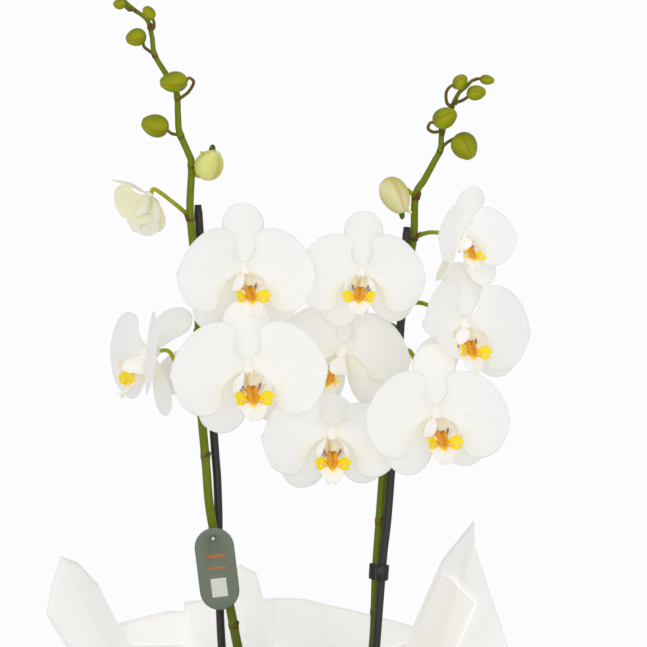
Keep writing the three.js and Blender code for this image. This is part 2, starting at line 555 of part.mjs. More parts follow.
// The tag's thread: a bead in front of the hole, the thread through it and a loop round the stem.
function tagTie() {
  const tilt = degrees(TAG_TILT);
  const rise = new THREE.Vector3(-Math.sin(tilt), 0, Math.cos(tilt)).multiplyScalar(TAG_HOLE_RISE);
  const { x, y, z } = vector(TAG_CENTRE).add(rise);
  const stem = heightOn(SPIKE_LEFT_LINE, z);
  const stake = heightOn(STAKE_LEFT_LINE, z);
  const front = y - TAG_THICKNESS - 0.9;
  const left = Math.min(stem.x, stake.x) - 5;
  const right = Math.max(stem.x, stake.x) + 5;
  const back = Math.max(stem.y, stake.y) + 5;
  const loop = [
    [x, front, z], [x, y + 1.2, z], [left, stem.y - 2, z + 1], [left, back - 2, z + 1.5],
    [(left + right) / 2, back, z + 2], [right, back - 2, z + 1.5], [right, stem.y - 2, z + 1],
    [x + 0.5, y + 1.6, z],
  ];
  const thread = taperedTube(loop, () => THREAD_RADIUS, 4, 2);
  const bead = ball([x, front, z], [1.3, 1.3, 0.7], [0, 1, 0], 6, 4);
  return namedMesh('tag_tie', fuse([thread, bead]), WHITE_THREAD);
}

// ---- Pot, bark, crown and leaves --------------------------------------------------------------

const potRadius = (z) => THREE.MathUtils.lerp(POT_FOOT_RADIUS, POT_RIM_RADIUS, (z - POT_FOOT) / POT_HEIGHT);

// A turned body from a profile of radius and height pairs.
function turned(profile, around) {
  const outline = profile.map(([r, z]) => new THREE.Vector2(r, z));
  return solid(new THREE.LatheGeometry(outline, around).rotateX(Math.PI / 2));
}

function pot() {
  const top = POT_FOOT + POT_HEIGHT;
  const profile = [
    [0, POT_FOOT], [POT_FOOT_RADIUS - 2, POT_FOOT], [POT_FOOT_RADIUS, POT_FOOT + 2],
    [potRadius(top - 9), top - 9], [POT_RIM_RADIUS + 2, top - 8], [POT_RIM_RADIUS + 2.6, top - 1.6],
    [POT_RIM_RADIUS + 1.4, top], [POT_RIM_RADIUS - 1, top], [potRadius(top - 4) - POT_WALL, top - 4],
    [POT_FOOT_RADIUS - POT_WALL, POT_FOOT + 4.5], [0, POT_FOOT + 3],
  ];
  return namedMesh('pot', geometryOf(turned(profile, 22)), WHITE_POT);
}

// The crown: the short upright stem that the leaves and spikes leave, and its thick grey-green roots.
const CROWN_ROOTS = [
  [[6, -6, 108], [20, -20, 113], [34, -30, 106], [40, -33, 92]],
  [[-7, -5, 107], [-14, -26, 113], [-14, -44, 106], [-12, -50, 92]],
  [[-4, 8, 107], [-16, 27, 112], [-30, 36, 105], [-36, 38, 92]],
  [[6, 7, 108], [13, 28, 113], [12, 46, 106], [9, 51, 92]],
];

function crownGeometries(extra) {
  const middle = [[0, 0, 84], [0, 0, 104], [0, 0, 122], [0, 1, 134]];
  const trunk = taperedTube(middle, (t) => 13 - 5 * t * t + extra, 8, 1);
  const roots = CROWN_ROOTS.map((line) => taperedTube(line, (t) => 3.1 - 0.9 * t + extra, 5, 1));
  return [trunk, ...roots];
}

// A leaf: a thick strap that leaves the crown steeply, arches over and drops to a blunt tip.
function leaf({ name, azimuth, foot, length, width, rise, drop, roll }) {
  const halfWidth = splineThrough([[0, 6.5], [0.15, 0.17 * width], [0.35, 0.37 * width], [0.6, 0.5 * width],
    [0.8, 0.44 * width], [0.93, 0.27 * width], [1, 0]]);
  const tilt = degrees(roll);
  const steps = 24;
  const spine = [new THREE.Vector3(foot[0], 0, foot[1])];
  for (let i = 1; i <= steps; i++) {
    const slope = degrees(rise - (rise + drop) * ((i - 0.5) / steps));
    const step = new THREE.Vector3(Math.cos(slope), 0, Math.sin(slope)).multiplyScalar(length / steps);
    spine.push(spine.at(-1).clone().add(step));
  }
  const surface = (u, v) => {
    const edge = halfWidth.getPoint(u);
    const k = Math.min(steps - 1, Math.floor(edge.x * steps));
    const middle = spine[k].clone().lerp(spine[k + 1], edge.x * steps - k);
    const fold = (0.16 * edge.y * (1 - 0.6 * edge.x) + 0.9 * Math.sin(9 * edge.x)) * Math.abs(v);
    const across = new THREE.Vector3(0, Math.cos(tilt), Math.sin(tilt)).multiplyScalar(edge.y * v);
    return middle.add(across).addScaledVector(UPRIGHT, fold).applyAxisAngle(UPRIGHT, degrees(azimuth));
  };
  return namedMesh(name, bladeSolid(surface, 9, 2, new THREE.Vector3(0, 0, -LEAF_THICKNESS)), GREEN_LEAF);
}

// The bark: a filling of the pot whose top is a heap of turned chunks, with plain holes for what
// stands in it.
function bark(holes) {
  const random = (() => {
    let state = 7;
    return () => {
      state = (state * 16807) % 2147483647;
      return state / 2147483647;
    };
  })();
  const inside = (z) => potRadius(z) - POT_WALL - 2 * SLIP;
  const profile = [[0, POT_FOOT + 5.2], [POT_FOOT_RADIUS - POT_WALL - 2.4, POT_FOOT + 5.6],
    [inside(BARK_LEVEL - 3), BARK_LEVEL - 3], [inside(BARK_LEVEL) - 4, BARK_LEVEL], [0, BARK_LEVEL + 1]];
  let heap = turned(profile, 16);
  for (let k = 0; k < BARK_CHUNKS; k++) {
    const reach = 47.8 * Math.sqrt((k + 0.6) / BARK_CHUNKS);
    const angle = 2.399963 * k;
    const chunk = new THREE.BoxGeometry(13 + 8 * random(), 9 + 6 * random(), 7 + 3 * random());
    chunk.rotateX(0.7 * (random() - 0.5)).rotateY(0.7 * (random() - 0.5)).rotateZ(6.28 * random());
    chunk.translate(Math.cos(angle) * reach, Math.sin(angle) * reach, BARK_LEVEL + 0.5 * random());
    heap = heap.add(solid(chunk));
  }
  for (const hole of holes) heap = heap.subtract(solid(hole));
  return namedMesh('bark_mix', geometryOf(heap), BROWN_BARK);
}

// ---- Wrap -------------------------------------------------------------------------------------

const PLEAT_DEPTH = 1.8;
const SHOULDER = 118;
const FLARE_LEVELS = [128, 142];
const SPREAD = 0.62;

// A value along a closed rim at any azimuth, straight between the rim's points.
function rimAt(rim, azimuth, item) {
  const k = rim.findLastIndex((point) => point[0] <= azimuth);
  const next = rim[(k + 1) % rim.length];
  const t = (azimuth - rim[k][0]) / ((next[0] - rim[k][0] + 360) % 360);
  return THREE.MathUtils.lerp(rim[k][item], next[item], t);
}

// A sheet laid under the pot, taken up its side, gathered at the band and spread to its rim. Both
// sheets follow the paper's slope at each azimuth; the pleats and the rim's height are their own.
// The face worked out here is the outer one; the thickness lies inside.
function wrapSheet(name, rimHeight, floor, clearance, look) {
  const wall = [
    [POT_FOOT_RADIUS + 2.4, floor], [potRadius(83) + 6, 83], [potRadius(101) + 6.2, 101],
    [potRadius(SHOULDER) + 6, SHOULDER],
  ];
  const points = [];
  PAPER_RIM.forEach(([azimuth, paperReach, paperTop], k) => {
    const slope = (z) => {
      const t = Math.pow((z - SHOULDER) / (paperTop - SHOULDER), SPREAD);
      return THREE.MathUtils.lerp(potRadius(SHOULDER) + 6, paperReach, t);
    };
    const top = rimHeight(azimuth);
    const last = FLARE_LEVELS[1];
    const rise = (top - last) / (paperTop - last);
    const column = [...wall, ...FLARE_LEVELS.map((z) => [slope(z), z]),
      [THREE.MathUtils.lerp(slope(last), paperReach, rise), top]];
    const angle = degrees(azimuth);
    column.forEach(([r, z], i) => {
      const reach = r + clearance + (i > 0 && i < column.length - 1 ? PLEAT_DEPTH * (k % 2) : 0);
      points.push(new THREE.Vector3(reach * Math.cos(angle), reach * Math.sin(angle), z));
    });
  });
  const rings = points.length / PAPER_RIM.length;
  return namedMesh(name, sheetShell(points, rings, PAPER_RIM.length, floor), look);
}

// Closes a bowl-shaped face into a sheet: a second face inside it, and a rim strip between the two.
function sheetShell(outer, ringCount, sectors, floor) {
  const middle = outer.length;
  const points = [...outer, new THREE.Vector3(0, 0, floor)];
  const index = (k, i) => (k % sectors) * ringCount + i;
  const face = [];
  for (let k = 0; k < sectors; k++) {
    face.push([middle, index(k, 0), index(k + 1, 0)]);
    for (let i = 0; i < ringCount - 1; i++) {
      face.push([index(k, i), index(k, i + 1), index(k + 1, i + 1)]);
      face.push([index(k, i), index(k + 1, i + 1), index(k + 1, i)]);
    }
  }
  const surface = new THREE.BufferGeometry().setFromPoints(points);
  surface.setIndex(face.flat());
  surface.computeVertexNormals();
  const normal = surface.getAttribute('normal');
  const inner = points.map((p, i) => {
    const inward = new THREE.Vector3().fromBufferAttribute(normal, i);
    if (inward.z < 0) inward.negate();
    return p.clone().addScaledVector(inward, SHEET_THICKNESS);
  });
  const count = points.length;
  const triangles = face.flatMap(([a, b, c]) => [[a, c, b], [count + a, count + b, count + c]]);
  for (let k = 0; k < sectors; k++) {
    const a = index(k, ringCount - 1);
    const b = index(k + 1, ringCount - 1);
    triangles.push([a, b, count + b], [a, count + b, count + a]);
  }
  return closedMesh([...points, ...inner], triangles);
}

function band() {
  const inner = potRadius(GATHER_LEVEL + 8) + 6.2 + SHEET_GAP + PLEAT_DEPTH + SLIP;
  const half = BAND_HEIGHT / 2;
  const outer = inner + 1.2;
  const section = [
    [inner, -half], [outer, -half], [outer + 0.4, 0], [outer, half], [inner, half], [inner, -half],
  ];
  const profile = section.map(([r, z]) => [r, z + GATHER_LEVEL]);
  return namedMesh('wrap_band', geometryOf(turned(profile, 22)), CREAM_BAND);
}

// ---- The whole plant --------------------------------------------------------------------------

const orchid = new THREE.Group();
const flowers = {};
for (const spec of FLOWERS) {
  flowers[spec.name] = flower({ ...USUAL_FLOWER, ...spec });
  orchid.add(flowers[spec.name]);
}
orchid.add(spike('spike_left', SPIKE_LEFT_LINE, PEDICELS_LEFT, BUDS_LEFT, PALE_STALK_LEFT, flowers));
orchid.add(spike('spike_right', SPIKE_RIGHT_LINE, PEDICELS_RIGHT, BUDS_RIGHT, PALE_STALK_RIGHT, flowers));
for (const spec of PALE_BUDS) orchid.add(namedMesh(spec.name, geometryOf(solid(bud(spec))), spec.look));
orchid.add(namedMesh('stake_left', stakeTube(STAKE_LEFT_LINE, 0), BLACK_PLASTIC));
orchid.add(namedMesh('stake_right', stakeTube(STAKE_RIGHT_LINE, 0), BLACK_PLASTIC));
orchid.add(clip('clip_left', CLIP_LEFT_LEVEL, SPIKE_LEFT_LINE, STAKE_LEFT_LINE));
orchid.add(clip('clip_right', CLIP_RIGHT_LEVEL, SPIKE_RIGHT_LINE, STAKE_RIGHT_LINE));
orchid.add(tag());
orchid.add(tagTie());
orchid.add(pot());
orchid.add(namedMesh('crown', fuse(crownGeometries(0)), GREY_GREEN_CROWN));
const stakeHoles = [STAKE_LEFT_LINE, STAKE_RIGHT_LINE].map((line) => stakeTube(line, SLIP));
orchid.add(bark([...crownGeometries(SLIP), ...stakeHoles]));
for (const spec of LEAVES) orchid.add(leaf(spec));
const paperHeight = (azimuth) => rimAt(PAPER_RIM, azimuth, 2);
const fleeceHeight = (azimuth) => rimAt(FLEECE_RIM, azimuth, 1);
orchid.add(wrapSheet('wrap_paper', paperHeight, PAPER_FLOOR, 0, WHITE_PAPER));
orchid.add(wrapSheet('wrap_fleece', fleeceHeight, 0, SHEET_GAP, WHITE_FLEECE));
orchid.add(band());

export default orchid;
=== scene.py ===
import math

import bmesh
import bpy
import numpy as np
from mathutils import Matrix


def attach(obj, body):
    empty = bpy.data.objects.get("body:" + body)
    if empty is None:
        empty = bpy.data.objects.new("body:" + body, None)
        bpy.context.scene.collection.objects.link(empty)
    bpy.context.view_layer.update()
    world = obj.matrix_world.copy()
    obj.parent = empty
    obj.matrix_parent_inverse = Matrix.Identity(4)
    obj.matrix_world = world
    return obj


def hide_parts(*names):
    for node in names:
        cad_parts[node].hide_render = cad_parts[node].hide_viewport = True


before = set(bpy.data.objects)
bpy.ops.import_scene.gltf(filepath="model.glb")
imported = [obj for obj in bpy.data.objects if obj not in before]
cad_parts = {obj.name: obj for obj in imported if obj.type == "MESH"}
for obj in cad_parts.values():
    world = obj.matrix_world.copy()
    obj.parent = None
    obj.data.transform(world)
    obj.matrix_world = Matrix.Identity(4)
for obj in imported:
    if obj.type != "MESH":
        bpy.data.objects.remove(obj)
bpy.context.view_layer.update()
scene = bpy.context.scene


# ---- View, light and floor ----------------------------------------------------------------------
# The camera stands level in front of the flowers. A white surround and two large soft lamps give
# the bright, almost shadowless light of a studio table.

EYE = (0.0157, -1.6, 0.407)
LENS, SENSOR = 132.9, 36
FLOOR_RADIUS, FLOOR_SIDES, FLOOR_ROUGHNESS = 1.1, 96, 0.8
FLOOR_GREY = (0.9, 0.9, 0.91, 1)
SKY_SEEN, SKY_GLOW, SKY_STRENGTH = (0.975, 0.975, 0.99, 1), (1, 0.992, 0.985, 1), 0.6
LAMPS = [
    dict(name="key_lamp", place=(-1.0, -1.5, 1.5), aim=(0, 0, 0.38), size=0.9, power=4,
         colour=(1, 0.985, 0.96)),
    dict(name="fill_lamp", place=(0.4, -2.4, 0.25), aim=(0, 0, 0.36), size=2.2, power=15,
         colour=(1, 0.995, 0.99)),
]

camera = bpy.data.objects.new("camera", bpy.data.cameras.new("camera"))
camera.data.lens = LENS
camera.data.sensor_width = SENSOR
camera.location = EYE
camera.rotation_euler = (math.pi / 2, 0, 0)
scene.collection.objects.link(camera)
scene.camera = camera
scene.view_settings.view_transform = "Standard"


def soft_lamp(name, place, aim, size, power, colour):
    """A square lamp at a place, turned to an aim point."""
    lamp = bpy.data.objects.new(name, bpy.data.lights.new(name, "AREA"))
    lamp.data.size = size
    lamp.data.energy = power
    lamp.data.color = colour
    lamp.location = place
    direction = [a - p for a, p in zip(aim, place)]
    yaw = math.atan2(direction[0], -direction[1])
    drop = math.atan2(math.hypot(direction[0], direction[1]), -direction[2])
    lamp.rotation_euler = (drop, 0, math.pi + yaw)
    scene.collection.objects.link(lamp)


for lamp in LAMPS:
    soft_lamp(**lamp)

surround = bpy.data.worlds.new("surround")
surround.use_nodes = True
scene.world = surround
sky = surround.node_tree
sky_seen = sky.nodes["Background"]
sky_seen.inputs["Color"].default_value = SKY_SEEN
sky_glow = sky.nodes.new("ShaderNodeBackground")
sky_glow.inputs["Color"].default_value = SKY_GLOW
sky_glow.inputs["Strength"].default_value = SKY_STRENGTH
sky_mix = sky.nodes.new("ShaderNodeMixShader")
sky_ray = sky.nodes.new("ShaderNodeLightPath")
sky.links.new(sky_ray.outputs["Is Camera Ray"], sky_mix.inputs[0])
sky.links.new(sky_glow.outputs[0], sky_mix.inputs[1])
sky.links.new(sky_seen.outputs[0], sky_mix.inputs[2])
sky.links.new(sky_mix.outputs[0], sky.nodes["World Output"].inputs[0])

around = np.linspace(0, 2 * math.pi, FLOOR_SIDES + 1)[:-1]
disc = np.stack([np.cos(around), np.sin(around), 0 * around], 1) * FLOOR_RADIUS
floor_mesh = bpy.data.meshes.new("floor")
floor_mesh.from_pydata(disc.tolist(), [], [list(range(FLOOR_SIDES))])
floor = bpy.data.objects.new("floor", floor_mesh)
floor_finish = bpy.data.materials.new("floor")
floor_finish.use_nodes = True
floor_surface = floor_finish.node_tree.nodes["Principled BSDF"]
floor_surface.inputs["Base Color"].default_value = FLOOR_GREY
floor_surface.inputs["Roughness"].default_value = FLOOR_ROUGHNESS
floor_mesh.materials.append(floor_finish)
scene.collection.objects.link(floor)


# ---- Blooms -------------------------------------------------------------------------------------
# Eleven white flowers: two broad petals in front, three narrower sepals behind them, and the short
# column in the middle. Tissue a millimetre thick, matt, lightly veined, greenish at the backs.

UPPER_EDGE = [[0.4, 4.4], [4.4, 7], [7.6, 11], [8.2, 15.5], [7.6, 20], [8.6, 24.4], [14, 27.4], [22, 27.8],
              [31, 24.4], [40, 16], [46, 5.5], [47.8, -1.6]]
LOWER_EDGE = [[0.6, -2], [8.5, -4.4], [14.5, -9.5], [17.6, -16], [18.6, -22], [22.5, -26.8], [29, -27.8],
              [36, -25.8], [42, -20.4], [46, -12], [47.8, -4.6]]
SEPAL_EDGE = [[1.5, 3], [8, 5.6], [15, 9.8], [23, 13.4], [32, 14.2], [39, 11.4], [43.5, 6.4], [45, 0.8]]
TEPAL_REACH = 48

# Where each flower sits and faces (turn: yaw, pitch, roll), and how its tepals stand. The two petals,
# left and right: cup (tilt to the front), curl and dip (upper and lower half bent back), turned (about
# their own line), lift (tip raised). The three sepals, upper, left and right: lean (tilt to the back),
# reach, twist, and splay, the angle of the lower two from straight down. Bow bends all five along their
# length, green tints the tissue of a flower that is still opening. Angles are in degrees.
USUAL = dict(cup=[13, 13], curl=[0, 0], dip=[0, 0], turned=[0, 0], lift=[0, 0], lean=[6, 6, 6],
             reach=[1, 1, 1], twist=[0, 0, 0], splay=[35, 40], bow=[0, 0, 0, 0, 0], narrow=1, lip=1,
             lip_yaw=0, green=0)
BLOOMS = [
    dict(name="a", at=[-36.2, -46, 441.8], turn=[13, 4, 0], size=0.98, reach=[1, 1.06, 1.06],
         splay=[35, 48], lip_yaw=8),
    dict(name="b", at=[-33.0, -64, 378.6], turn=[6, 4, -1], size=1.08, lean=[10, 8, 24],
         reach=[0.92, 1, 1], splay=[31, 40], lip_yaw=7),
    dict(name="c", at=[-99, -14, 388], turn=[-64, 4, 0], size=0.97, cup=[14, 17], lean=[42, -14, 3],
         reach=[0.88, 1, 1], splay=[53, 14], twist=[30, 0, 0], turned=[0, -9], lip_yaw=-8),
    dict(name="d", at=[-101, -8, 491.5], turn=[-108, 50, 0], size=0.62, cup=[40, 10], lean=[0, 10, 10],
         bow=[60, 50, 40, 110, 110], splay=[40, 46], lip=0.74, green=1),
    dict(name="e", at=[41.2, -30, 440.4], turn=[-8, 3, 1], size=0.915, splay=[35, 46]),
    dict(name="f", at=[29.2, -4, 388.6], turn=[-22, 10, 3], size=0.97, cup=[14, -4], lift=[14, 0],
         lean=[20, 6, -4], reach=[1.1, 1, 1], lip_yaw=-24),
    dict(name="g", at=[20.9, -51, 335.8], turn=[5, 10, 2], size=0.97, cup=[10, 10], curl=[22, 48],
         lean=[50, 2, 2], reach=[0.8, 1, 1], splay=[36, 48]),
    dict(name="h", at=[87.3, -66, 349.3], turn=[9, 5, 0], size=1.005, lean=[8, 0, 6], splay=[32, 46],
         lip_yaw=9),
    dict(name="i", at=[106.8, -46, 406.5], turn=[15, 4, 6], size=0.99, cup=[12, -3], dip=[-40, 0],
         lean=[24, 6, 6], bow=[50, 0, 0, 0, 0], reach=[1, 1, 1.08], splay=[30, 56], lip_yaw=11),
    dict(name="j", at=[105.7, -46, 465], turn=[20, 4, 3], size=0.77, cup=[43, 38], lean=[-28, 0, -5],
         reach=[1, 1, 1.1], splay=[22, 36], twist=[0, -84, 0], narrow=0.88, lip_yaw=18),
    dict(name="k", at=[-62, 36, 374], turn=[-150, 0, 0], size=0.8, lean=[25, 12, 12], splay=[20, 20],
         narrow=0.7),
]
BLOOMS = [{**USUAL, **spec} for spec in BLOOMS]


def linear(*colour):
    """A display colour of 0 to 255 as the linear values that a shader takes."""
    c = np.array(colour) / 255
    return np.where(c < 0.04, c / 12.92, ((c + 0.055) / 1.055) ** 2.4)


def smooth(low, high, x):
    """0 below low, 1 above high, and the cubic 3t^2 - 2t^3 between them."""
    t = np.clip((x - low) / (high - low), 0, 1)
    return t * t * (3 - 2 * t)


def bump_at(centre, width, x):
    """A bell of height 1 at a centre: e to the minus square of the distance over the width."""
    return np.exp(-(((x - centre) / width) ** 2))


def blend(a, b, t):
    """From a to b by t, with t given a last axis where a and b have colours or places."""
    a, b, t = np.asarray(a), np.asarray(b), np.asarray(t)
    if max(a.ndim, b.ndim) > t.ndim or (t.ndim and a.ndim == 1):
        t = t[..., None]
    return a * (1 - t) + b * t


def through(points, t, open_ends=False):
    """The smooth line through points, at t from 0 to 1: on each stretch the cubic whose slope at a
    point is half the step between its neighbours. Ends are doubled, or mirrored if open_ends."""
    p = np.asarray(points, float)
    first = 2 * p[0] - p[1] if open_ends else p[0]
    last = 2 * p[-1] - p[-2] if open_ends else p[-1]
    q = np.vstack([first, p, last])
    x = np.asarray(t, float) * (len(p) - 1)
    k = np.clip(x.astype(int), 0, len(p) - 2)
    f = (x - k)[..., None]
    a, b, c, d = q[k], q[k + 1], q[k + 2], q[k + 3]
    m, n = (c - a) / 2, (d - b) / 2
    return (2 * b - 2 * c + m + n) * f ** 3 + (3 * c - 3 * b - 2 * m - n) * f ** 2 + m * f + b


def grid(rows, columns, low=-1.0, high=1.0):
    """Two parameters on a grid: u from 0 to 1 down the rows and v from low to high along them."""
    return np.meshgrid(np.linspace(0, 1, rows), np.linspace(low, high, columns), indexing="ij")


def grid_faces(rows, columns, start=0, wrap=False):
    """The four-sided faces between neighbouring points of a grid that is numbered row by row."""
    i, j = np.meshgrid(np.arange(rows - 1), np.arange(columns if wrap else columns - 1), indexing="ij")
    k = (j + 1) % columns
    corners = [i * columns + j, (i + 1) * columns + j, (i + 1) * columns + k, i * columns + k]
    return (np.stack(corners, -1).reshape(-1, 4) + start).tolist()


def full_turn(count):
    """The angles of a number of points that share a circle evenly."""
    return np.linspace(0, 2 * math.pi, count + 1)[:-1]


def part_of(points, faces, colour, coords=(0, 0)):
    """A part: its points in millimetres, its faces by the points' running numbers, and the colour and
    the pattern coordinates of each point."""
    return dict(
        points=points.reshape(-1, 3),
        faces=faces,
        colour=np.broadcast_to(colour, points.shape).reshape(-1, 3),
        coords=np.broadcast_to(coords, (*points.shape[:-1], 2)).reshape(-1, 2),
    )


def shell(front, depth, towards, colour, back_colour, coords):
    """A thin closed leaf of tissue. The back is the front moved against its normal by a depth at
    each point; a strip joins the two round the edge. The normal is the cross product of the slopes
    along and across."""
    rows, columns = front.shape[:2]
    normal = np.cross(np.gradient(front, axis=0), np.gradient(front, axis=1))
    size = np.linalg.norm(normal, axis=-1, keepdims=True)
    normal = normal / np.maximum(size, 1e-9)
    normal[-1] = np.where(size[-1] < 1e-6, normal[-2], normal[-1])
    normal[0] = np.where(size[0] < 1e-6, normal[1], normal[0])
    if (normal * np.asarray(towards, float)).sum(axis=-1).mean() < 0:
        normal = -normal
    back = front - normal * np.broadcast_to(depth, front.shape[:2])[..., None]
    count = rows * columns
    faces = grid_faces(rows, columns) + grid_faces(rows, columns, count)
    index = np.arange(count).reshape(rows, columns)
    loop = np.concatenate([index[0, :-1], index[:-1, -1], index[-1, :0:-1], index[:0:-1, 0]])
    after = np.roll(loop, -1)
    faces += np.stack([loop, after, after + count, loop + count], 1).tolist()
    colours = [np.broadcast_to(c, front.shape) for c in (colour, back_colour)]
    return part_of(np.stack([front, back]), faces, np.stack(colours), coords)


def ring_frames(path):
    """For each point of a path two directions square to it: the normal of the plane that fits the
    path best, made square to the path's slope, and the cross product of both."""
    along = np.gradient(path, axis=0)
    along /= np.linalg.norm(along, axis=1, keepdims=True)
    spread = path - path.mean(axis=0)
    flat = np.linalg.svd(spread + 1e-6 * along)[2][-1]
    side = flat - (along @ flat)[:, None] * along
    side /= np.linalg.norm(side, axis=1, keepdims=True)
    return side, np.cross(along, side)


def tube(path, radius, colour, sides=14):
    """A round tube along a path: each ring is the path's point plus radius times (side cos + other
    sin). The first and last rings are closed to a point."""
    side, other = ring_frames(path)
    angle = full_turn(sides)
    spoke = side[:, None] * np.cos(angle)[:, None] + other[:, None] * np.sin(angle)[:, None]
    rings = path[:, None] + spoke * np.broadcast_to(radius, len(path))[:, None, None]
    ends = np.repeat(path[[0, -1], None], sides, 1)
    rings = np.concatenate([ends[:1], rings, ends[1:]])
    tint = np.broadcast_to(colour, (len(path), 3))
    tint = np.concatenate([tint[:1], tint, tint[-1:]])
    along, around = np.meshgrid(np.linspace(0, 1, len(rings)), angle / 6.3, indexing="ij")
    faces = grid_faces(len(rings), sides, wrap=True)
    return part_of(rings, faces, tint[:, None], np.stack([along, around], -1))


def turning(axis, angle):
    """The matrix that turns a column by an angle about the x, y or z axis."""
    c, s = math.cos(angle), math.sin(angle)
    return np.array(dict(x=[[1, 0, 0], [0, c, -s], [0, s, c]], y=[[c, 0, s], [0, 1, 0], [-s, 0, c]],
                         z=[[c, -s, 0], [s, c, 0], [0, 0, 1]])[axis])


def placed(part, spec, scale=1.0):
    """A part of a flower in its place: scaled, rolled about the flower's own axis, pitched, yawed,
    and moved to the flower's centre."""
    yaw, pitch, roll = np.radians(spec["turn"])
    turn = turning("z", yaw) @ turning("x", pitch) @ turning("y", roll)
    return {**part, "points": part["points"] * scale @ turn.T + np.array(spec["at"])}


def make_piece(name, parts, material, nodes):
    """One object from parts given in millimetres: doubles merged, normals outwards, smooth, with its
    colours as an attribute and its pattern coordinates as the UV map."""
    starts = np.cumsum([0] + [len(p["points"]) for p in parts])
    points = np.concatenate([p["points"] for p in parts]) / 1000
    faces = [[i + s for i in f] for p, s in zip(parts, starts) for f in p["faces"]]
    mesh = bpy.data.meshes.new(name)
    mesh.from_pydata(points.tolist(), [], faces)
    colours = np.concatenate([p["colour"] for p in parts])
    colours = np.concatenate([colours, np.ones((len(colours), 1))], 1).astype(np.float32)
    mesh.attributes.new("tint", "FLOAT_COLOR", "POINT").data.foreach_set("color", colours.ravel())
    corners = np.empty(len(mesh.loops), np.int32)
    mesh.loops.foreach_get("vertex_index", corners)
    coords = np.concatenate([p["coords"] for p in parts]).astype(np.float32)
    mesh.uv_layers.new(name="UVMap").data.foreach_set("uv", coords[corners].ravel())
    clean = bmesh.new()
    clean.from_mesh(mesh)
    bmesh.ops.remove_doubles(clean, verts=clean.verts, dist=2e-6)
    bmesh.ops.dissolve_degenerate(clean, edges=clean.edges, dist=1e-7)
    bmesh.ops.recalc_face_normals(clean, faces=clean.faces)
    clean.to_mesh(mesh)
    clean.free()
    mesh.shade_smooth()
    mesh.materials.append(material)
    piece = bpy.data.objects.new(name, mesh)
    scene.collection.objects.link(piece)
    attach(piece, "root")
    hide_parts(*nodes)
    return piece


def add(tree, kind, links=(), **values):
    """A shader node with its settings, and links from other sockets into its inputs."""
    node = tree.nodes.new("ShaderNode" + kind)
    for key, value in values.items():
        setattr(node, key, value)
    for socket, source in links:
        if hasattr(source, "is_output"):
            tree.links.new(source, node.inputs[socket])
        else:
            node.inputs[socket].default_value = source
    return node


def math_node(tree, operation, *sources):
    """A math node on sockets or numbers; the result's socket."""
    return add(tree, "Math", list(enumerate(sources)), operation=operation).outputs[0]


def new_group(name, inputs, outputs):
    """An empty shader node group with named inputs (kind, default) and outputs."""
    group = bpy.data.node_groups.new(name, "ShaderNodeTree")
    for label, (kind, value) in inputs.items():
        socket = group.interface.new_socket(label, in_out="INPUT", socket_type="NodeSocket" + kind)
        if value is not None:
            socket.default_value = value
    for label, kind in outputs.items():
        group.interface.new_socket(label, in_out="OUTPUT", socket_type="NodeSocket" + kind)
    return group, group.nodes.new("NodeGroupInput"), group.nodes.new("NodeGroupOutput")


def place_in(tree, upright=None):
    """The place on the object, its height drawn out by a socket if one is given."""
    place = add(tree, "TexCoord").outputs["Object"]
    if upright is None:
        return place
    stretch = add(tree, "CombineXYZ", [(0, 1.0), (1, 1.0), (2, upright)]).outputs[0]
    return add(tree, "Mapping", [("Vector", place), ("Scale", stretch)]).outputs[0]


# Mottle: the colour drifts a little lighter and darker in soft patches, as living tissue does.
mottle, given, result = new_group(
    "mottle", {"Color": ("Color", None), "Scale": ("Float", 100.0), "Amount": ("Float", 0.1)},
    {"Color": "Color"})
noise = add(mottle, "TexNoise", [("Vector", place_in(mottle)), ("Scale", given.outputs["Scale"]),
                                 ("Detail", 4.0)])
level = math_node(mottle, "SUBTRACT", noise.outputs["Fac"], 0.5)
level = math_node(mottle, "MULTIPLY", level, given.outputs["Amount"])
level = math_node(mottle, "ADD", math_node(mottle, "MULTIPLY", level, 2.0), 1.0)
scaled = add(mottle, "VectorMath", [(0, given.outputs["Color"]), ("Scale", level)], operation="SCALE")
mottle.links.new(scaled.outputs[0], result.inputs["Color"])

# Grain: fine noise roughens the surface; upright below 1 draws it out into streaks along the height.
grain, given, result = new_group(
    "grain", {"Scale": ("Float", 1500.0), "Detail": ("Float", 2.0), "Upright": ("Float", 1.0),
              "Strength": ("Float", 0.2), "Distance": ("Float", 0.0002)}, {"Normal": "Vector"})
noise = add(grain, "TexNoise", [("Vector", place_in(grain, given.outputs["Upright"])),
                                ("Scale", given.outputs["Scale"]), ("Detail", given.outputs["Detail"])])
bumps = add(grain, "Bump", [("Strength", given.outputs["Strength"]), ("Height", noise.outputs["Fac"]),
                            ("Distance", given.outputs["Distance"])])
grain.links.new(bumps.outputs[0], result.inputs["Normal"])


def mottled(tree, source, scale, amount):
    """The mottle group on a colour socket."""
    values = [("Color", source), ("Scale", scale), ("Amount", amount)]
    return add(tree, "Group", values, node_tree=mottle).outputs[0]


def grained(tree, surface, scale, strength, distance, detail=2.0, upright=1.0):
    """The grain group on a surface."""
    values = [("Scale", scale), ("Strength", strength), ("Distance", distance), ("Detail", detail),
              ("Upright", upright)]
    tree.links.new(add(tree, "Group", values, node_tree=grain).outputs[0], surface.inputs["Normal"])


def relief(tree, surface, height, strength, distance):
    """A height socket as bumps on a surface."""
    bumps = add(tree, "Bump", [("Strength", strength), ("Distance", distance), ("Height", height)])
    tree.links.new(bumps.outputs[0], surface.inputs["Normal"])


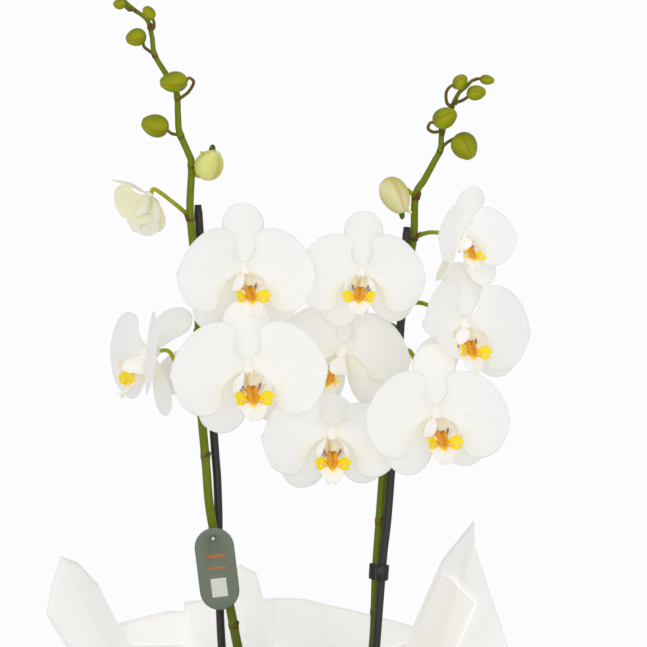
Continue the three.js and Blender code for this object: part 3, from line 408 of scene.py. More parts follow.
def finish(name, *patches, glow=0.0, roughness=0.5, gloss=0.5, soft=0.0, soft_radius=(1, 1, 1),
           soft_scale=0.002, coat=0.0):
    """A material whose base is the mesh's own colour, mottled once for each (scale, amount). The glow is
    emission in the same colour: painted light that stands in for the light that comes through thin
    tissue or paper."""
    material = bpy.data.materials.new(name)
    material.use_nodes = True
    tree = material.node_tree
    surface = tree.nodes["Principled BSDF"]
    values = {"Roughness": roughness, "Specular IOR Level": gloss, "Coat Weight": coat,
              "Subsurface Weight": soft, "Subsurface Radius": soft_radius, "Subsurface Scale": soft_scale}
    for socket, value in values.items():
        surface.inputs[socket].default_value = value
    if patches:
        colour = add(tree, "Attribute", attribute_name="tint").outputs["Color"]
        for scale, amount in patches:
            colour = mottled(tree, colour, scale, amount)
        tree.links.new(colour, surface.inputs["Base Color"])
        if glow:
            tree.links.new(colour, surface.inputs["Emission Color"])
            surface.inputs["Emission Strength"].default_value = glow
    return material, tree, surface


def tepal_place(angle, across, tilt, bow, twist, s, w, h):
    """The points of a tepal from s along its line, w across and h up from its face. The line points
    along an angle of the flower's plane; its tilt to the front grows evenly by bow over the reach,
    so it is an arc. Across and up are turned about the line by the twist."""
    tilt, bow, twist = np.radians([tilt, bow, twist])
    flat, ahead = np.array([math.cos(angle), 0, math.sin(angle)]), np.array([0, -1, 0])
    rate = bow / TEPAL_REACH
    turned = (tilt + rate * s)[..., None]
    reach = (np.sin(turned) - math.sin(tilt)) / rate if rate else s[..., None] * math.cos(tilt)
    forward = (math.cos(tilt) - np.cos(turned)) / rate if rate else s[..., None] * math.sin(tilt)
    out = flat * np.cos(turned) + ahead * np.sin(turned)
    face = ahead * np.cos(turned) - flat * np.sin(turned)
    sideways = across * math.cos(twist) + np.cross(out, across) * math.sin(twist)
    upwards = face * math.cos(twist) + np.cross(out, face) * math.sin(twist)
    return flat * reach + ahead * forward + sideways * w[..., None] + upwards * h[..., None], upwards


def petal_front(spec, k, seed, rows=44, columns=41):
    """A petal's face, rows from base to tip, v from the lower edge over the midrib to the upper.
    Out and across run straight from the midrib's point to the edge's point as |v| goes to 1. Its
    height is an arch along u that falls to the edges, less a narrow groove on the midrib, plus a slow
    wave that grows as v cubed; each half may bend back by an angle of its own."""
    u, v = grid(rows, columns)
    upper, lower = through(UPPER_EDGE, u), through(LOWER_EDGE, u)
    edge = np.where(v[..., None] > 0, upper, lower)
    a = np.abs(v)
    s = blend(1.2 + 46.8 * u, edge[..., 0], a)
    across = blend(-3 * u, edge[..., 1], a) * spec["narrow"]
    s = s * (1 + 0.012 * np.sin(5.2 * v + 2.3 * seed) * a)
    bend = np.radians(np.where(v > 0, spec["curl"][k], spec["dip"][k])) * np.minimum(1, np.abs(across) / 12)
    swell = np.sin(np.pi * u)
    h = 1.4 + 3.4 * np.sin(np.pi * u ** 0.8) * (1 - 0.55 * v * v) - 0.3 * (1 - a) * swell
    h = h - 0.2 * bump_at(0, 0.06, v) * smooth(0.05, 0.3, u) * (1 - u)
    h = h + 0.5 * a ** 3 * np.sin(5.5 * u + 2.2 * v + seed) * swell
    h = h - 1.5 * smooth(0.62, 1, u) * (1 - 0.3 * a)
    w = across * np.cos(bend)
    h = h - np.abs(across) * np.sin(bend)
    lift = math.radians(spec["lift"][k])
    angle = lift if k else math.pi - lift
    upright = np.array([math.sin(lift) * (-1 if k else 1), 0, math.cos(lift)])
    front, up = tepal_place(angle, upright, spec["cup"][k], spec["bow"][k],
                            spec["turned"][k], s, w, h)
    return front, up, u, v, s, w


def sepal_front(spec, angle, k, seed, rows=38, columns=25):
    """A sepal's face: out by the outline's reach, across by its half-width times v, and keeled by
    2.2 sin(pi u)(1 - v^2), falling back towards the tip; the upper one swells near its foot."""
    u, v = grid(rows, columns)
    edge = through(SEPAL_EDGE, u)
    s, w = edge[..., 0] * spec["reach"][k], edge[..., 1] * v * spec["narrow"]
    h = -1.2 + 2.2 * np.sin(np.pi * u) * (1 - v * v) - 1.4 * u
    h = h + (0 if k else 2.4 * smooth(-5, 5, spec["lean"][0])) * bump_at(0.3, 0.2, u)
    h = h + 0.4 * np.abs(v) ** 3 * np.sin(5 * u + 2 * v + seed) * np.sin(np.pi * u)
    sideways = np.array([-math.sin(angle), 0, math.cos(angle)])
    front, up = tepal_place(angle, sideways, -spec["lean"][k], spec["bow"][k + 2],
                            spec["twist"][k], s, w, h)
    return front, up, u, v, s, w


PETAL_WHITE = linear(250, 249, 247)
# Petal base colour: partly the tissue's own beige at its base, partly painted shade.
PETAL_TINT_AND_SHADE = linear(232, 230, 206)
MIDRIB_SHADE = linear(240, 238, 232)
# Sepal base colour: their own greenish cream, also used as painted shade where the petals cover the lower
# sepals.
SEPAL_TINT_AND_SHADE = linear(236, 230, 206)
SEPAL_BACK = linear(234, 232, 212)
TIP_GREEN = linear(168, 174, 112)
TIP_DARK = linear(70, 82, 44)
BUD_GREEN = linear(226, 226, 158)
COLUMN_WHITE = linear(250, 244, 238)
COLUMN_BLUSH = linear(240, 190, 150)


def vein_coords(s, w):
    """Pattern coordinates of a tepal: the angle at which a vein leaves the base, and the reach."""
    return np.stack([np.arctan2(w, s + 4), s / 48], -1)


def tepals(spec, seed):
    """The five tepals of a flower as closed shells, in the flower's own millimetres."""
    parts = []
    green = spec["green"]
    depth_scale = 1 / spec["size"]
    for k in (0, 1):
        front, up, u, v, s, w = petal_front(spec, k, seed + 2.1 * k)
        base = 1 - smooth(5, 15, s)
        # Beige near the hub and on the lower half beside the lip: partly the petal's own tint, partly
        # painted shade.
        lower = smooth(0, -14, w) * (1 - smooth(16, 30, s))
        colour = blend(PETAL_WHITE, PETAL_TINT_AND_SHADE, np.clip(0.45 * base + 0.55 * lower, 0, 1))
        # A faint band of painted shade along the midrib crease.
        colour = blend(colour, MIDRIB_SHADE, 0.6 * bump_at(0, 0.07, v) * (1 - smooth(0.5, 0.9, u)))
        colour = blend(colour, BUD_GREEN, green * (0.35 + 0.4 * base))
        back = blend(blend(PETAL_WHITE, SEPAL_BACK, 0.35), BUD_GREEN, green * 0.6)
        depth = depth_scale * (0.75 - 0.45 * np.abs(v) ** 3)
        parts.append(shell(front, depth, up, colour, back, vein_coords(s, w)))
    splay = np.radians(spec["splay"])
    for k, angle in enumerate([math.pi / 2, -math.pi / 2 - splay[0], -math.pi / 2 + splay[1]]):
        front, up, u, v, s, w = sepal_front(spec, angle, k, seed + 1.3 * k)
        base = 1 - smooth(8, 34 if k else 16, s)
        tip = smooth(0.93, 1, u) * (1 - np.abs(v))
        dot = smooth(0.965, 0.995, u) * smooth(0.9, 0.3, np.abs(v))
        # The lower sepals' base takes painted shade where the petals cover them, over their own greenish
        # cream.
        colour = blend(PETAL_WHITE, SEPAL_TINT_AND_SHADE, (0.75 if k else 0.08) * base)
        colour = blend(colour, TIP_GREEN, 0.35 * tip)
        colour = blend(colour, BUD_GREEN, green * 0.5)
        colour = blend(colour, TIP_DARK, (0.7 if k else 0.15) * dot)
        keel = bump_at(0, 0.3, v)
        back = blend(SEPAL_BACK, SEPAL_TINT_AND_SHADE, 0.6 * keel + 0.4 * base * (1 - keel))
        back = blend(back, TIP_GREEN, np.clip(0.7 * tip + 0.3 * keel * base + green * 0.35 * keel, 0, 1))
        back = blend(back, TIP_DARK, 0.8 * dot)
        depth = depth_scale * (0.8 - 0.45 * np.abs(v) ** 3)
        parts.append(shell(front, depth, up, colour, back, vein_coords(s, w)))
    return parts


def column_parts():
    """The column: a finger that bends forward and down, its half-width swelling to a rounded cap whose
    underside blushes; and the white mound between the petals that carries it."""
    t = np.linspace(0, 1, 26)
    path = through([[0, 3.4, 2.6], [0, -1.5, 1.8], [0, -6, -0.4], [0, -9.2, -3.0]], t, True)
    radius = (3.9 - 0.9 * smooth(0.1, 0.8, t)) * np.sqrt(np.clip(1.02 - t ** 8, 0, 1))
    tint = blend(COLUMN_WHITE, COLUMN_BLUSH, 0.8 * smooth(0.95, 1, t))
    hub = np.stack([0 * t, 6.6 - 9.4 * t, 0.4 + 0 * t], -1)
    hub_radius = 4.9 * np.sqrt(np.clip(1 - (2 * t - 1) ** 2, 0, 1))
    hub_tint = blend(SEPAL_BACK, PETAL_WHITE, smooth(0.3, 0.6, t))
    return [tube(path, radius, tint), tube(hub, hub_radius, hub_tint)]


# The petal tissue glows a little: painted light for the light that comes through it.
petal_finish, tree, surface = finish("petal_tissue", (60, 0.012), glow=0.125, roughness=0.62, gloss=0.3,
                                     soft=0.7, soft_radius=(1, 0.98, 0.94), soft_scale=0.003)
vein_uv = add(tree, "SeparateXYZ", [(0, add(tree, "TexCoord").outputs["UV"])])
drift = add(tree, "TexNoise", [("Vector", place_in(tree)), ("Scale", 90.0)])
vein = math_node(tree, "ADD", math_node(tree, "MULTIPLY", vein_uv.outputs[0], 120.0),
                 math_node(tree, "MULTIPLY", drift.outputs["Fac"], 5.0))
relief(tree, surface, math_node(tree, "SINE", vein), 0.06, 0.0002)

WAVE_STEP = 1.7  # how far the waves of one flower's tepals are moved on from the last one's
for number, spec in enumerate(BLOOMS):
    whites = tepals(spec, WAVE_STEP * number) + column_parts()
    whites = [placed(part, spec, spec["size"]) for part in whites]
    make_piece("flower_" + spec["name"], whites, petal_finish, ["bloom_" + spec["name"]])


# ---- Lips ---------------------------------------------------------------------------------------
# The lip of each flower, as a piece of its own: two white side lobes like a collar, a throat with
# dark streaks, an orange callus between two yellow wings, and a white middle lobe with two tendrils.

LIP_WHITE = linear(250, 248, 242)
# Painted shade for the recess of the lip between the side lobes.
LIP_RECESS_SHADE = linear(234, 230, 208)
LIP_YELLOW = linear(253, 224, 6)
LIP_DEEP_YELLOW = linear(240, 184, 6)
LIP_ORANGE = linear(230, 158, 4)
LIP_RED = linear(132, 40, 8)
LIP_BROWN = linear(164, 92, 6)
# Painted shade for the underside and curled end of the middle lobe.
LIP_UNDER_SHADE = linear(240, 238, 230)
THROAT_TAN = linear(204, 178, 84)

# The side lobes' half-width at each depth below the flower's centre, and how far forward they run.
LOBE_HALF = [[1, 3.6], [3.2, 5.2], [5.4, 8.4], [7.6, 9.8], [9.8, 10.3], [12, 10.4], [14.2, 10.1],
             [16.4, 9.3]]
LOBE_BACK, LOBE_FRONT = 2.5, 22.5


def side_lobe(side):
    """A side lobe: a wall whose height u runs from its upper edge down and whose v runs forward. From
    the column it swings out to the half-width of its height as a quarter sine, goes straight forward,
    and turns in a little at the front; its upper edge drops with v squared."""
    u, v = grid(34, 32, 0, 1)
    top = -1.2 - 3.6 * v ** 1.6 - 2.6 * smooth(0.86, 1, v)
    foot = -15.8 + 3.6 * v
    z = top + (foot - top) * u
    half = np.interp(-z, *np.transpose(LOBE_HALF))
    x = 2.4 + (half - 2.4) * np.sin(np.minimum(v / 0.42, 1) * np.pi / 2)
    x = x - 2.6 * smooth(0.72, 1, v) ** 2 * (1 - 0.5 * u)
    y = -LOBE_BACK - (LOBE_FRONT - LOBE_BACK) * v * (1 - 0.14 * smooth(0.5, 1, u))
    front = np.stack([side * x, y, z], -1)
    along = 6.9 - 0.64 * (-9.8 - z)
    streak = bump_at(0, 0.75, x - along) * smooth(-9.6, -11.4, z) * smooth(0.5, 0.3, v)
    faint = 0.4 * bump_at(0, 0.3, x - along - 1.5) + 0.3 * bump_at(0, 0.3, x - along - 2.6)
    faint = faint * smooth(-8.2, -9.6, z) * smooth(0.6, 0.4, v)
    # The back of each side lobe, deep in the cup by the column, is painted with shade.
    deep_shade = smooth(0.32, 0.05, v)
    inside = blend(blend(LIP_WHITE, LIP_RECESS_SHADE, 0.9 * deep_shade), LIP_RED, np.clip(streak + faint, 0, 1))
    return shell(front, 0.45, [-side, 0, 0], inside, LIP_WHITE, np.stack([u, v], -1))


def wing(side):
    """A yellow wing, u from the callus outwards and v from its lower to its upper edge. It sweeps
    forward with u; a groove a bell wide parts the larger upper lobe from the lower one and notches
    the rounded outer end."""
    u, v = grid(28, 33)
    groove = bump_at(-0.3, 0.16, v)
    upper = np.sqrt(np.clip(1 - ((v - 0.35) / 0.66) ** 2, 0, 1))
    lower = np.sqrt(np.clip(1 - ((v + 0.66) / 0.36) ** 2, 0, 1))
    reach = 5.8 + 3.7 * np.where(v > -0.3, upper, 0.75 * lower)
    half = through([[0, 1.4], [0.3, 2.0], [0.6, 3.1], [0.8, 3.7], [1, 3.5]], u)[..., 1]
    x = 2.2 + reach * u
    z = -17.6 + 1.5 * u + half * v
    y = -15.0 - 6.6 * u ** 1.15 + 1.5 * groove * smooth(0.1, 0.5, u) + 1.6 * v * v + 0.9 * v
    front = np.stack([side * x, y, z], -1)
    colour = blend(LIP_DEEP_YELLOW, LIP_YELLOW, smooth(0.05, 0.45, u + 0.15 * v))
    # A pale streak along the groove: partly the wing's own whitish band, partly a painted highlight.
    pale = bump_at(-0.3, 0.13, v) * (bump_at(0.3, 0.12, u) + 0.8 * bump_at(0.72, 0.1, u))
    colour = blend(colour, LIP_WHITE, np.clip(0.95 * pale, 0, 1))
    colour = blend(colour, LIP_BROWN, 0.7 * bump_at(0.53, 0.05, u) * bump_at(-0.28, 0.13, v))
    return shell(front, 0.6, [0, -1, 0], colour, LIP_YELLOW, np.stack([u, v], -1))


def callus():
    """The callus: rings of a cushion that runs forward and down, its half-width falling from the two
    humps at the top to a pointed end; a bell-shaped furrow runs down its middle."""
    t, angle = np.linspace(0, 1, 38), full_turn(32)
    half = through([[0, 2.8], [0.14, 3.6], [0.4, 3.7], [0.62, 3.3], [0.8, 2.3], [1, 0.15]], t)[:, 1]
    half = half * np.sqrt(np.clip(1 - (1 - t / 0.1) ** 2, 0, 1) * (t < 0.1) + (t >= 0.1))
    x = half[:, None] * np.cos(angle)
    depth = (0.6 + half * 0.5)[:, None] * np.sin(angle)
    furrow = bump_at(0, 0.8, x) * (np.sin(angle) < 0) * (1 - smooth(0.25, 0.5, t))[:, None]
    z = (-10.2 - 11.8 * t)[:, None] + 1.1 * (1 - bump_at(0, 1.1, x)) * (1 - t[:, None]) - 0.6 * furrow
    y = -11.0 - 8.6 * t[:, None] + depth + 0.9 * furrow
    points = np.stack([x, y, z], -1)
    tt = t[:, None] + 0 * angle
    colour = blend(LIP_ORANGE, LIP_YELLOW, smooth(0.7, 0.98, tt))
    rim = 0.9 * (1 - smooth(0.03, 0.12, tt)) * (0.4 + 0.6 * np.abs(x) / 3) + 0.4 * furrow
    colour = blend(colour, LIP_BROWN, np.clip(rim, 0, 1))
    spots = bump_at(0.45, 0.07, tt) * bump_at(0.4, 0.8, x)
    spots = spots + bump_at(0.62, 0.06, tt) * bump_at(-0.1, 0.6, x)
    colour = blend(colour, LIP_BROWN, np.clip(0.8 * spots, 0, 1))
    faces = grid_faces(38, 32, wrap=True) + [list(range(32)), list(range(37 * 32, 38 * 32))]
    return part_of(points, faces, colour, np.stack([tt, tt], -1))


def middle_lobe():
    """The white middle lobe, u from its neck down to its blunt end and v across. It hangs forward,
    bulges along its middle, and its edge waves."""
    u, v = grid(34, 31)
    half = through([[0, 6.5], [0.14, 8.6], [0.3, 8.8], [0.5, 7.8], [0.68, 6.9], [0.84, 6.0], [0.94, 4.8],
                    [1, 3.4]], u)[..., 1]
    x = half * v
    z = -18.0 - 11.4 * u + 0.5 * np.cos(4.6 * v + 0.4) * u ** 3
    y = -14.6 - 8.2 * np.sin(1.5 * u) + 1.9 * v * v * (1 - 0.6 * u) + 0.4 * np.sin(5 * v) * u
    front = np.stack([x, y, z], -1)
    colour = blend(LIP_WHITE, LIP_YELLOW, 0.7 * (1 - smooth(0.02, 0.16, u)))
    # Greyer towards the end, where the lobe curls under, and grey on its underside: painted shade.
    colour = blend(colour, LIP_UNDER_SHADE, 0.5 * smooth(0.6, 1, u))
    return shell(front, 0.6, [0, -1, 0], colour, LIP_UNDER_SHADE, np.stack([u, v], -1))


def tendril(side, curl):
    """A tendril at the end of the lip: a thread on a shrinking circle that turns up and inwards."""
    t = np.linspace(0, 1, 30)
    turn = 0.9 + curl * t
    radius = 2.1 * (1 - 0.5 * t)
    x = side * (2.4 + 1.0 * t + 0.3 * np.sin(3 * t))
    y = -22.6 - 1.2 * t - radius * np.sin(turn)
    z = -27.4 - radius * np.cos(turn) + 0.8 * t
    path = np.stack([x, y, z], -1)
    return tube(path, 0.34 * (1 - 0.5 * t), LIP_WHITE, sides=8)


def lip_floor():
    """The throat below the column: a short trough from the hub forward to the callus, its ground painted
    with beige shade, with a mustard streak left of its middle and dark red streaks along its narrowing
    lower edges."""
    u, v = grid(26, 33)
    half = through([[0, 3.4], [0.25, 5.4], [0.5, 6.8], [0.72, 5.6], [1, 3.2]], u)[..., 1]
    x = half * v
    y = -1.5 - 12.0 * u
    z = -2.6 - 12.8 * u + 2.4 * v * v * (1 - 0.3 * u)
    streak = bump_at(-0.28, 0.22, v) * smooth(0.06, 0.25, u) * (1 - smooth(0.5, 0.75, u))
    colour = blend(LIP_RECESS_SHADE, THROAT_TAN, 0.8 * streak)
    dark = smooth(0.66, 0.82, np.abs(v)) * smooth(0.52, 0.66, u)
    fine = 0.35 * smooth(0.2, 1, np.sin(26 * np.abs(v)))
    fine = fine * smooth(0.4, 0.6, np.abs(v)) * smooth(0.45, 0.6, u)
    colour = blend(colour, LIP_RED, np.clip(0.9 * dark + fine * (1 - dark), 0, 1))
    return shell(np.stack([x, y, z], -1), 0.6, [0, -0.7, 0.7], colour, LIP_WHITE, np.stack([u, v], -1))


# The lip tissue glows a little: painted light for the light that comes through it.
lip_finish, tree, surface = finish("lip_tissue", (700, 0.05), glow=0.14, roughness=0.42, soft=0.15,
                                   soft_radius=(1, 0.85, 0.6), soft_scale=0.0012, coat=0.08)
grained(tree, surface, 1400.0, 0.15, 0.0002)

for number, spec in enumerate(BLOOMS):
    lobes = [side_lobe(-1), side_lobe(1), wing(-1), wing(1), callus(), middle_lobe(), lip_floor(),
             tendril(-1, 4.2 + 0.3 * (number % 3)), tendril(1, 5.0 - 0.4 * (number % 4))]
    lip_spec = {**spec, "turn": [spec["turn"][0] + spec["lip_yaw"], *spec["turn"][1:]]}
    lobes = [placed(part, lip_spec, spec["size"] * spec["lip"]) for part in lobes]
    make_piece("flower_lip_" + spec["name"], lobes, lip_finish, ["lip_" + spec["name"]])


# ---- Spikes -------------------------------------------------------------------------------------
# Two green flower spikes. Each has nodes with a dry brown bract, arched stalks to its flowers, and
# green buds that get smaller towards the tip. Pedicels, buds and stem are grown as one.

# The stems' middle lines from the crown to the tip. A flower's stalk is its name, the height where it
# leaves the stem, its first push and the length of its straight neck. A bud is its middle, half-width,
# length, nose direction and the points of its stalk. Nodes are heights on the stem.
LINE_LEFT = [
    [-16.4, 2, 110], [-23, 1, 128], [-34, 0, 160], [-41.6, 0, 190], [-46.3, 0, 214], [-53.7, 1, 248],
    [-60.4, 2, 282], [-63.2, 3, 313], [-66.9, 4, 356], [-68, 5, 396], [-69, 5, 430], [-73.2, 3, 473],
    [-73.8, 2, 488], [-72.7, 0, 513], [-75, -1, 521.5], [-80.6, -3, 535], [-81.5, -5, 547],
    [-82.4, -7, 561], [-89.1, -8, 573], [-96.7, -10, 586], [-98.4, -12, 598], [-101.4, -14, 608.5],
    [-110.7, -15, 615.7], [-117, -16, 622], [-121.5, -17, 629],
]
LINE_RIGHT = [
    [16.6, 1, 111], [28, 1, 126], [41, 0, 152], [48.9, 0, 190], [50.9, 0, 236], [52.9, 1, 268],
    [57.7, 3, 329], [65.7, 4, 393], [73.1, 3, 446], [76.3, 2, 467], [77.4, 1, 492.5], [83.4, 0, 503.5],
    [90, -2, 515.7], [93.9, -3, 523.3], [94.8, -4, 534], [98.6, -7, 544.5], [105.1, -10, 559.3],
    [110.5, -11, 564.5], [114.5, -12, 568.6],
]
STALKS_LEFT = [("d", 478, [-9, -2, 8], 4), ("a", 452, [10, -12, 6], 9), ("b", 424, [14, -12, 4], 9),
               ("k", 398, [-2, 9, 3], 9), ("c", 366, [-12, -5, 7], 9)]
STALKS_RIGHT = [("j", 465, [12, -4, 3], 9), ("e", 444, [-10, 2, 6], 9), ("i", 420, [14, -8, 0], 9),
                ("f", 402, [-10, -6, 4], 9), ("h", 384, [10, -12, 3], 9), ("g", 337, [-10, -8, 3], 9)]
BUDS_LEFT = [
    ([-96.3, -8, 538.9], 8, 18, [-1, -0.2, 0.25], [[-80.8, -3, 533], [-86, -5, 534]]),
    ([-83, -22, 566.6], 7.2, 18, [-1, -0.3, -0.1],
     [[-82, -6, 556], [-74.5, -9, 561], [-70.5, -14, 567], [-73, -19, 569.5]]),
    ([-108.6, -14, 597.1], 6.1, 13.4, [-1, -0.3, -0.3],
     [[-96, -10, 585.5], [-100.5, -11, 588.5], [-104, -12, 592]]),
    ([-99.6, -22, 612], 4.3, 9.8, [-0.5, -0.4, 0.8],
     [[-99.8, -13, 604], [-97, -17, 602.5], [-96.4, -20, 606]]),
    ([-119.1, -24, 617.6], 3.5, 8, [-0.8, -0.6, 0], [[-110.7, -15, 615.7], [-113, -19, 614.5]]),
    ([-127.4, -17, 629.5], 2.7, 6.4, [-1, 0, 0.5], [[-119.5, -16.5, 626], [-123, -17, 627]]),
    ([-121.8, -18, 634], 2.6, 6.6, [0, 0, 1], [[-121, -17, 628], [-121.5, -17.4, 631]]),
]
BUDS_RIGHT = [
    ([109.6, -9, 525.3], 9, 18.5, [0.5, -0.3, -0.9], [[94, -3, 524], [98.5, -4, 528], [103, -6, 530.5]]),
    ([95.9, -18, 543.1], 7.2, 16.4, [1, -0.3, 0.5],
     [[94.6, -5, 535.5], [89, -9, 534.5], [85.2, -13, 536.5], [86.5, -16.5, 540]]),
    ([106.2, -18, 566.9], 5, 10.6, [0.6, -0.3, 0.7],
     [[101, -8.5, 551], [97.6, -13, 554], [97.2, -16, 560.5], [100.5, -17.5, 564.5]]),
    ([116.6, -20, 559.6], 5.2, 12.4, [1, -0.3, 0.1],
     [[103.5, -9, 554], [107.5, -14, 555], [111, -18, 557]]),
    ([124.2, -14, 568.8], 3.4, 9.6, [1, 0, -0.15], [[114.5, -12, 568.4], [118, -13, 569.6]]),
]
NODES_LEFT = [205, 262, 318, 513, 533, 558, 586, 604, 616]
NODES_RIGHT = [214, 275, 492, 523, 535, 551]
PALE_STALK_LEFT = [[-73.2, 0.5, 511], [-70, 1.5, 507], [-67, 2, 505.5]]
PALE_STALK_RIGHT = [[77, 1, 492], [71.5, 3, 497], [67, 1.2, 497.4]]

STEM_GREEN = linear(104, 120, 4)
STEM_DARK = linear(70, 70, 30)
STEM_TOP = linear(122, 138, 4)
NODE_BROWN = linear(104, 58, 34)
STALK_GREEN = linear(176, 184, 22)
# Lit and shaded greens of the buds: painted light and shade.
BUD_LIT_GREEN = linear(166, 174, 2)
BUD_SHADED_GREEN = linear(104, 120, 2)
BUD_BROWN = linear(160, 104, 16)
BRACT_DRY = linear(116, 84, 52)
BRACT_FROM = 4


def on_line(line, level):
    """The point of a stem's line at a level, straight between its given points."""
    p = np.asarray(line, float)
    k = np.argmax(p[:, 2] >= level)
    t = (level - p[k - 1, 2]) / (p[k, 2] - p[k - 1, 2])
    return p[k - 1] * (1 - t) + p[k] * t


def bud(at, radius, length, nose, light, dark, blush, extra=0.0):
    """A closed bud: rings of an egg whose half-width is the sine of the way along, fuller at the
    base, with three seams pressed in and a small nose; the seams and the base are tinted. The seams
    are turned on by the extra angle."""
    t, a = grid(26, 31, 0, 2 * np.pi)
    t, a = t[:, :-1], a[:, :-1]
    along = (1 - np.cos(np.pi * t)) / 2
    r = np.sin(np.pi * t) ** 0.9 * (1.02 - 0.22 * along ** 2)
    r = r + 0.07 * bump_at(0.97, 0.03, along) * (t < 0.999)
    seam = np.abs(np.sin(1.5 * (a + 0.8 + extra)))
    mark = bump_at(0, 0.14, seam) * smooth(0.05, 0.3, along)
    r = radius * r * (1 - 0.07 * mark)
    z = length * (-0.5 + 1.03 * along)
    axis = np.array(nose, float) / np.linalg.norm(nose)
    side = np.cross(axis, [0.1, 1, 0.2])
    side /= np.linalg.norm(side)
    other = np.cross(axis, side)
    points = np.array(at) + z[..., None] * axis + (r * np.cos(a))[..., None] * side
    points = points + (r * np.sin(a))[..., None] * other
    # Lighter and darker bands wind round the bud: painted light and shade of its facets.
    tone = 0.5 + 0.5 * np.sin(2 * a + 3 * along)
    colour = blend(light, dark, np.clip(0.15 + 0.75 * tone * (1 - 0.6 * along), 0, 1))
    flush = 0.35 * bump_at(0.35, 0.2, along) * smooth(0.2, 0.9, np.sin(a + 2.4 + extra))
    colour = blend(colour, blush, np.clip(0.7 * mark + flush + 0.6 * (1 - smooth(0.02, 0.2, along)), 0, 1))
    return part_of(points, grid_faces(26, 30, wrap=True), colour, np.stack([along, a / 6.3], -1))


def bract(line, level, push, scale=1.0):
    """A dry scale leaf at a node: a small pointed half-cup that hugs the stem and leans out."""
    u, v = grid(12, 11)
    middle = on_line(line, level)
    heading = math.atan2(push[1], push[0])
    wide = (1 - u ** 1.6) * 1.35
    angle = heading + v * wide
    reach = 3.1 + 1.9 * u
    x = middle[0] + scale * reach * np.cos(angle)
    y = middle[1] + scale * reach * np.sin(angle)
    z = middle[2] - 2.6 * scale + 6.4 * scale * u
    colour = blend(NODE_BROWN, BRACT_DRY, u)
    return shell(np.stack([x, y, z], -1), 0.35, [math.cos(heading), math.sin(heading), 0], colour,
                 BRACT_DRY, np.stack([u, v], -1))


def spike_parts(line, stalks, buds, nodes, pale_stalk):
    """The stem tube with swollen nodes, its flower stalks, bud stalks, buds and bracts."""
    t = np.linspace(0, 1, 460)
    path = through(line, t, True)
    radius = blend(3.3, 1.1, t ** 1.6)
    joints = nodes + [level for _, level, _, _ in stalks]
    swell = sum(bump_at(level, 1.8, path[:, 2]) for level in joints)
    ring = sum(bump_at(level - 1.6, 0.9, path[:, 2]) for level in joints)
    radius = radius * (1 + 0.17 * np.clip(swell, 0, 1))
    tone = smooth(120, 480, path[:, 2])
    tint = blend(blend(STEM_DARK, STEM_GREEN, smooth(110, 260, path[:, 2])), STEM_TOP, tone * 0.7)
    tint = blend(tint, NODE_BROWN, 0.85 * np.clip(ring, 0, 1))
    parts = [tube(path, radius, tint, sides=18)]
    for name, level, push, neck in stalks:
        spec = next(s for s in BLOOMS if s["name"] == name)
        size = spec["size"]
        ends = dict(points=np.array([[0, 4.6 * size + neck, -1], [0, 4.6 * size, 0.2]]))
        before, end = placed(ends, spec)["points"]
        root = on_line(line, level)
        s = np.linspace(0, 1, 60)
        route = through([root, root + push, before, end], s, True)
        width = 1.5 - 0.15 * s + 0.8 * np.exp(-14 * s) + 0.7 * smooth(0.9, 1, s)
        tint = blend(STALK_GREEN, STEM_TOP, 1 - smooth(0.05, 0.5, s))
        parts.append(tube(route, width, tint, sides=12))
        parts.append(bract(line, level, push))
    for at, size, length, nose, stalk in buds:
        axis = np.array(nose) / np.linalg.norm(nose)
        route = through(stalk + [list(np.array(at) - 0.42 * length * axis)], np.linspace(0, 1, 40), True)
        s = np.linspace(0, 1, 40)
        width = 1.15 - 0.15 * s + 0.5 * smooth(0.85, 1, s)
        tint = blend(STEM_TOP, NODE_BROWN, 0.75 * bump_at(0.45, 0.4, s))
        parts.append(tube(route, width, tint, sides=12))
        parts.append(bud(at, size, length, nose, BUD_LIT_GREEN, BUD_SHADED_GREEN, BUD_BROWN))
        if size > BRACT_FROM:
            parts.append(bract(line, stalk[0][2], np.subtract(stalk[1], stalk[0]), 0.62))
    route = through(pale_stalk, np.linspace(0, 1, 30), True)
    parts.append(tube(route, 1.6 - 0.3 * np.linspace(0, 1, 30), STALK_GREEN, sides=12))
    for level in nodes[:3]:
        parts.append(bract(line, level, [1, -1, 0], 0.9))
    return parts


stem_finish, tree, surface = finish("stem_skin", (90, 0.12), (900, 0.1), roughness=0.38, gloss=0.22)
grained(tree, surface, 1600.0, 0.2, 0.0002, upright=0.12)

make_piece("stem_left", spike_parts(LINE_LEFT, STALKS_LEFT, BUDS_LEFT, NODES_LEFT, PALE_STALK_LEFT),
           stem_finish, ["spike_left"])
make_piece("stem_right", spike_parts(LINE_RIGHT, STALKS_RIGHT, BUDS_RIGHT, NODES_RIGHT, PALE_STALK_RIGHT),
           stem_finish, ["spike_right"])


# ---- Opening buds -------------------------------------------------------------------------------
# One pale bud on each spike, about to open: cream-green with pink creases where its sepals meet,
# and a dark green nub at its end.

PALE_GREEN = linear(230, 230, 150)
PALE_CREAM = linear(232, 226, 184)
PALE_DARK = linear(178, 186, 62)
PINK_CREASE = linear(214, 156, 110)
NUB_GREEN = linear(70, 92, 20)


def nub(foot, tip, radius, colour):
    """A blunt nub: a short tube from foot to tip, fuller in its middle."""
    t = np.linspace(0, 1, 18)
    path = np.linspace(foot, tip, 18) + np.array([0.6, 0, 0]) * np.sin(np.pi * t)[:, None]
    return tube(path, radius * np.sqrt(np.clip(1.02 - (1.6 * t - 0.6) ** 2, 0, 1)), colour, sides=12)


